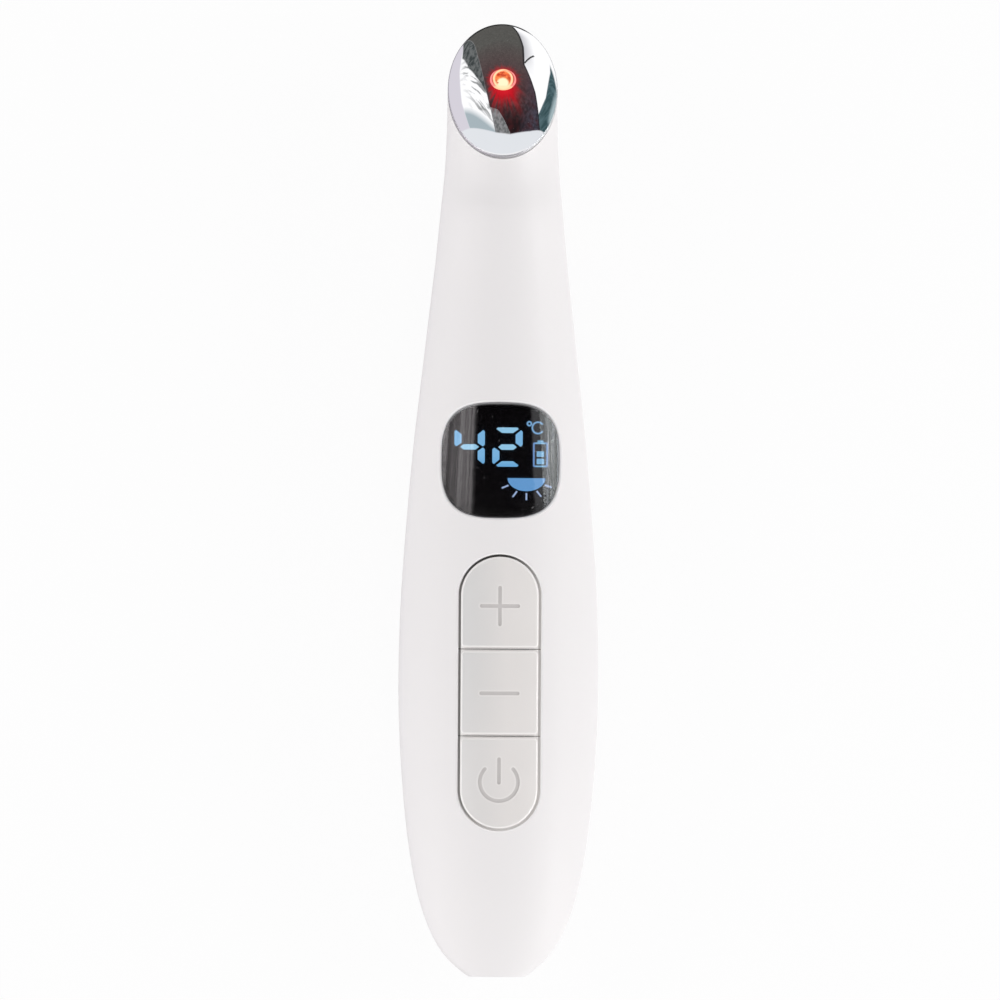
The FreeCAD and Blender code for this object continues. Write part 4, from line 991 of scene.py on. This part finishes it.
def placeStrips(name, node, strips, turn=0.0):  # under the top of the node's box
    low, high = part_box(node)
    height = high.z - strips["Thickness"] / 2 - strips["Rise"] - strips["Bow"]
    where = Matrix.Translation((0, (low.y + high.y) / 2, height)) @ Matrix.Rotation(turn, 4, "Z")
    piece = grow(name, stripTree, strips, where)
    takePlace(piece, "casing", node)
    return piece


portContacts = placeStrips("portContacts", "port_contacts", contacts, math.pi / 2)
chipLegs = placeStrips("chipLegs", "microcontroller_leads", legs)
print("strips ready:", len(portContacts.data.polygons), "+", len(chipLegs.data.polygons), "faces")


# floor

floor = {
    "half": 3.0,
    "drop": 0.05 * mm,  # under the flat land on the wand's back
    "colour": (0.90, 0.90, 0.905),
    "cloud": (0.87, 0.87, 0.875),
    "white": 0.90,  # how much of it the camera sees as plain white
}


def floorFinish():
    finish, nodes = emptyFinish("floorPale")
    cloud = nodes.noise(nodes.place(), 9.0, 2.0)
    paper = nodes.add("ShaderNodeBsdfDiffuse", None, {
        "Color": nodes.mix(cloud * 0.2, floor["colour"], floor["cloud"]),
    })
    plain = nodes.add("ShaderNodeEmission", None, {"Color": (1.0, 1.0, 1.0), "Strength": 1.0})
    seen = nodes.add("ShaderNodeLightPath", out="Is Camera Ray")
    both = nodes.add("ShaderNodeMixShader", None, [seen * floor["white"], paper, plain])
    nodes.add("ShaderNodeOutputMaterial", None, {"Surface": both})
    return finish


floorMesh = bpy.data.meshes.new("floor")
half, under = floor["half"], -floor["drop"]
corners = [(-half, -half, under), (half, -half, under), (half, half, under), (-half, half, under)]
floorMesh.from_pydata(corners, [], [(0, 1, 2, 3)])
floorPiece = bpy.data.objects.new("floor", floorMesh)
bpy.context.scene.collection.objects.link(floorPiece)
floorMesh.materials.append(floorFinish())
floorPiece.visible_glossy = False  # the polished plate mirrors the studio instead


# studio: what polished pieces mirror, by how far across (-1 to 1) and how far over (degrees)

studio = {
    "light": (0.94, 0.93, 0.938),  # on the object, from everywhere
    "strength": 0.725,
    "walls": (0.74, 0.71, 0.78),
    "ceiling": (0.84, 0.865, 0.90),
    "panel": (1.12, 1.12, 1.13),
    "panelShade": (0.62, 0.62, 0.65),
    "pool": (0.43, 0.51, 0.55),
    "strip": (0.17, 0.18, 0.18),
    "stripDark": (0.055, 0.065, 0.066),
    "wedge": (0.29, 0.29, 0.30),
    "wedgeDark": (0.10, 0.11, 0.11),
    "teal": (0.10, 0.17, 0.19),
    "tealDark": (0.045, 0.090, 0.100),
    "tealPale": (0.42, 0.53, 0.56),
    "dark": (0.145, 0.142, 0.131),
    "darkRed": (0.125, 0.075, 0.078),
    "darkest": (0.030, 0.014, 0.016),
    "violet": (0.095, 0.085, 0.120),
    "blotch": (0.085, 0.018, 0.020),
    "soot": (0.010, 0.010, 0.011),
    "bandEdge": (0.02, 0.02, 0.022),
    "bar": (0.06, 0.06, 0.06),
    "rimLine": (0.97, 0.97, 0.98),
    "outline": (0.030, 0.030, 0.032),
    "gap": (0.008, 0.007, 0.008),
    "softbox": (6.0, 5.7, 5.8),
    "softboxDark": (1.9, 1.75, 1.8),
    "side": (9.0, 9.4, 9.4),
    "sideDark": (1.5, 1.5, 1.55),
}

panelEdges = {  # points of (degrees over, across)
    "bandLeft": [
        (-60, -0.43), (-33, -0.392), (-4, -0.345), (16, -0.277), (35, -0.215),
        (37, -0.079), (43.5, 0.026), (54, 0.156), (60, 0.2),
    ],
    "bandRight": [
        (-60, 0.0), (-48, 0.104), (-27, 0.226), (-10, 0.304), (5.5, 0.326),
        (12, 0.43), (19, 0.54), (30, 0.655), (48, 0.815), (60, 0.9),
    ],
    "whiteLeft": [(-60, -0.36), (-46, -0.417), (-8, -0.629), (20, -0.706), (45, -0.695), (60, -0.68)],
    "stripLeft": [
        (-60, -0.44), (-42, -0.459), (-18.7, -0.552), (1.6, -0.485),
        (12.6, -0.388), (21.6, -0.29), (27, -0.24), (40, -0.1),
    ],
    "whiteRight": [(-60, 0.5), (-43, 0.587), (-21, 0.691), (12, 0.727), (27.5, 0.688), (36, 0.66)],
    "wedgeLeft": [(34, -0.212), (54, -0.148), (60, -0.13)],
}
panelFoot = [  # points of (across, degrees over)
    (-0.9, 47), (-0.69, 48), (-0.15, 54.4), (0.16, 56), (0.59, 51.8), (0.79, 47.5), (0.9, 46),
]
degreesAcross = 61  # degrees over that are about as far as 1 across


def leftPanel(nodes, sky, across, over, edges, mottle):
    # pale, with a blue pool at its foot, scratches and a dark strip beside the band
    left = nodes.above(across, edges["whiteLeft"], 0.02) * edges["beforeBand"] * edges["within"]
    sky = nodes.patch(sky, studio["panel"], left)
    pool = nodes.above(over - (across + 0.72) * 42, 27.0, 7.0)
    sky = nodes.patch(sky, studio["pool"], left, pool)
    slanted = nodes.vector((over - across * 70) * 0.30, (over + across * 70) * 0.045, 0.37)
    scratch = nodes.above(nodes.noise(slanted, 1.0, 3.0), 0.55, 0.09) * 0.85
    beside = nodes.above(across - edges["bandLeft"], -0.26, 0.20) * nodes.above(over, -10.0, 16.0)
    sky = nodes.patch(sky, studio["strip"], left, scratch, beside)
    strip = nodes.above(across, edges["stripLeft"], 0.015) * edges["beforeBand"]
    stripShade = nodes.mix(mottle, studio["strip"], studio["stripDark"])
    return nodes.patch(sky, stripShade, strip, nodes.below(over, 28.0, 2.0))


def rightPanel(nodes, sky, across, over, edges):
    # pale, shaded along the band, with teal beyond it
    right = edges["afterBand"] * edges["within"]
    sky = nodes.patch(sky, studio["panel"], right)
    shade = nodes.below(across - edges["bandRight"], 0.08, 0.16)
    shade = shade * nodes.above(over, -30.0, 12.0) * nodes.below(over, 4.0, 12.0)
    sky = nodes.patch(sky, studio["panelShade"], right, shade)
    beyond = nodes.above(across, edges["whiteRight"], 0.012) * nodes.above(over, -30.0, 6.0)
    beyond = beyond * edges["within"]
    streak = nodes.vector((across + over * 0.0035) * 46, over * 0.05, 0.37)
    streak = nodes.above(nodes.noise(streak, 1.0, 3.0), 0.50, 0.20)
    sky = nodes.patch(sky, nodes.mix(streak, studio["teal"], studio["tealDark"]), beyond)
    pale = nodes.above(across, 0.86 + over * 0.0012, 0.06) * nodes.below(over, 22.0, 14.0)
    return nodes.patch(sky, studio["tealPale"], beyond, pale)


def darkBand(nodes, sky, across, over, edges, mottle):
    # down the middle: grey, then red, then nearly black, and violet on the right
    depth = nodes.mix(nodes.above(over, 2.0, 26.0), studio["dark"], studio["darkRed"])
    depth = nodes.mix(nodes.above(over, 38.0, 16.0), depth, studio["darkest"])
    onRight = nodes.above(across, 0.46, 0.30) * nodes.above(over, 8.0, 10.0)
    depth = nodes.mix(onRight, depth, studio["violet"])
    grain = nodes.noise(nodes.vector(across * degreesAcross, over, 3.7), 1.3, 3.0)
    depth = nodes.mix(nodes.above(grain, 0.50, 0.50) * 0.45, depth, studio["soot"])
    low = nodes.above(over, 20.0, 20.0)
    depth = nodes.mix(mottle * (0.14 + 0.42 * low), depth, studio["soot"])
    blotch = nodes.noise(nodes.vector(across * degreesAcross, over, 7.3), 0.16, 3.0)
    depth = nodes.mix(nodes.above(blotch, 0.57, 0.26) * low * 0.55, depth, studio["blotch"])
    rightEdge = nodes.above(across - edges["bandRight"], -0.028, 0.012)
    depth = nodes.mix(rightEdge * 0.8, depth, studio["bandEdge"])
    band = nodes.above(across, edges["bandLeft"], 0.006) * (1 - edges["afterBand"])
    sky = nodes.patch(sky, depth, band, edges["within"])
    wedge = nodes.above(across, edges["wedgeLeft"], 0.006) * edges["beforeBand"]
    wedge = wedge * nodes.above(over, 35.2, 0.6) * edges["within"]
    return nodes.patch(sky, nodes.mix(mottle * 0.8, studio["wedge"], studio["wedgeDark"]), wedge)


def softboxes(nodes, sky, across, ahead, up):
    # overhead: a dark gap between two softboxes
    overhead = nodes.below(ahead, 0.064, 0.02) * nodes.above(ahead, -0.62, 0.12) * (up > 0.0)
    inGap = nodes.above(across, -0.95, 0.1) * nodes.below(across, 0.95, 0.1)
    sky = nodes.patch(sky, studio["gap"], overhead, inGap)
    streaks = nodes.noise(nodes.vector(across * 55, 0.37, 0.61), 1.0, 3.0)
    softbox = nodes.mix(nodes.above(streaks, 0.50, 0.20), studio["softboxDark"], studio["softbox"])
    onLeft = nodes.above(across, -0.98, 0.02) * nodes.below(across, -0.46, 0.10)
    sky = nodes.patch(sky, softbox, overhead, onLeft)
    bright = nodes.above(across, 0.725, 0.03) * (0.35 + 0.65 * nodes.above(streaks, 0.48, 0.12))
    onRight = nodes.above(across, 0.58, 0.04) * nodes.below(across, 0.94, 0.04)
    return nodes.patch(sky, nodes.mix(bright, studio["sideDark"], studio["side"]), overhead, onRight)


def mirroredSky(nodes):
    across, ahead, up = nodes.split(nodes.add("ShaderNodeTexCoord", out="Generated"))
    over = nodes.maths("ARCTAN2", up, ahead) * (180 / math.pi)
    foot = nodes.profile(across, panelFoot)
    edges = {name: nodes.profile(over, points) for name, points in panelEdges.items()}
    edges["within"] = nodes.below(over, foot, 1.2)
    edges["beforeBand"] = nodes.below(across, edges["bandLeft"], 0.006)
    edges["afterBand"] = nodes.above(across, edges["bandRight"], 0.006)
    mottle = nodes.noise(nodes.vector(across * degreesAcross, over, 0.61), 0.36, 4.0)
    mottle = nodes.above(mottle, 0.50, 0.22)
    ceiling = nodes.above(over, foot, 2.0) * nodes.below(over, 110.0, 20.0)
    sky = nodes.mix(ceiling, studio["walls"], studio["ceiling"])
    sky = leftPanel(nodes, sky, across, over, edges, mottle)
    sky = rightPanel(nodes, sky, across, over, edges)
    sky = darkBand(nodes, sky, across, over, edges, mottle)
    # thin bar on the right panel
    onBar = abs(across - 0.325 + (over - 4.2) * 0.00926) < 0.010
    sky = nodes.patch(sky, studio["bar"], onBar, nodes.above(over, -9.4, 0.8), nodes.below(over, 4.2, 0.8))
    # the plate's rim: a bright line at the bottom, a dark one at the top
    bent = across * across
    sky = nodes.mix(nodes.above(over + bent * 14, 82.5, 2.0), sky, studio["rimLine"])
    outline = nodes.below(over + bent * 9, -51.0, 4.0) * nodes.above(over, -80.0, 4.0)
    sky = nodes.patch(sky, studio["outline"], outline, nodes.above(across, -0.50, 0.20))
    return softboxes(nodes, sky, across, ahead, up)


def studioWorld():
    world = bpy.data.worlds.new("studio")
    bpy.context.scene.world = world
    world.use_nodes = True
    world.cycles.sampling_method = "NONE"
    nodes = Nodes(world.node_tree)

    def background(colour, strength=1.0):
        return nodes.add("ShaderNodeBackground", None, {"Color": colour, "Strength": strength})

    ray = nodes.add("ShaderNodeLightPath", out="Is Camera Ray")
    plain, mirrored = background(studio["light"], studio["strength"]), background(mirroredSky(nodes))
    lit = nodes.add("ShaderNodeMixShader", None, [ray.other("Is Glossy Ray"), plain, mirrored])
    seen = nodes.maths("MAXIMUM", ray, ray.other("Is Transmission Ray"))
    surface = nodes.add("ShaderNodeMixShader", None, [seen, lit, background((1.0, 1.0, 1.0))])
    nodes.add("ShaderNodeOutputWorld", None, {"Surface": surface})


studioWorld()

lamps = {
    # place, width, power in watts
    "rightLamp": ((0.55, 0.05, 0.22), 0.40, 1.25),
    "leftLamp": ((-0.55, 0.05, 0.24), 0.40, 0.95),
    "tailLamp": ((0.0, -0.60, 0.30), 0.40, 1.00),
}
for name, (place, width, power) in lamps.items():
    light = bpy.data.lights.new(name, "AREA")
    light.size, light.energy = width, power
    lamp = bpy.data.objects.new(name, light)
    bpy.context.scene.collection.objects.link(lamp)
    lamp.location = place
    lamp.rotation_mode = "QUATERNION"
    lamp.rotation_quaternion = (-Vector(place)).to_track_quat("-Z", "Y")
    lamp.visible_glossy = lamp.visible_camera = False
print("studio ready")


# camera: straight over the wand, a little to its left

camera = {
    "target": (0.076 * mm, 0.060 * mm, 11.0 * mm),
    "distance": 4.0,
    "lean": math.radians(0.9),
    "roll": math.radians(0.35),
    "focal": 946.0,
    "sensor": 36.0,
    "near": 0.5,
    "far": 20.0,
}
cameraPiece = bpy.data.objects.new("camera", bpy.data.cameras.new("camera"))
bpy.context.scene.collection.objects.link(cameraPiece)
cameraPiece.data.sensor_width, cameraPiece.data.lens = camera["sensor"], camera["focal"]
cameraPiece.data.clip_start, cameraPiece.data.clip_end = camera["near"], camera["far"]
leaning = Matrix.Rotation(-camera["lean"], 4, "Y") @ Matrix.Rotation(camera["roll"], 4, "Z")
toCamera = leaning @ Vector((0, 0, camera["distance"]))
cameraPiece.matrix_world = Matrix.Translation(Vector(camera["target"]) + toCamera) @ leaning
bpy.context.scene.camera = cameraPiece
bpy.context.scene.view_settings.view_transform = "Standard"
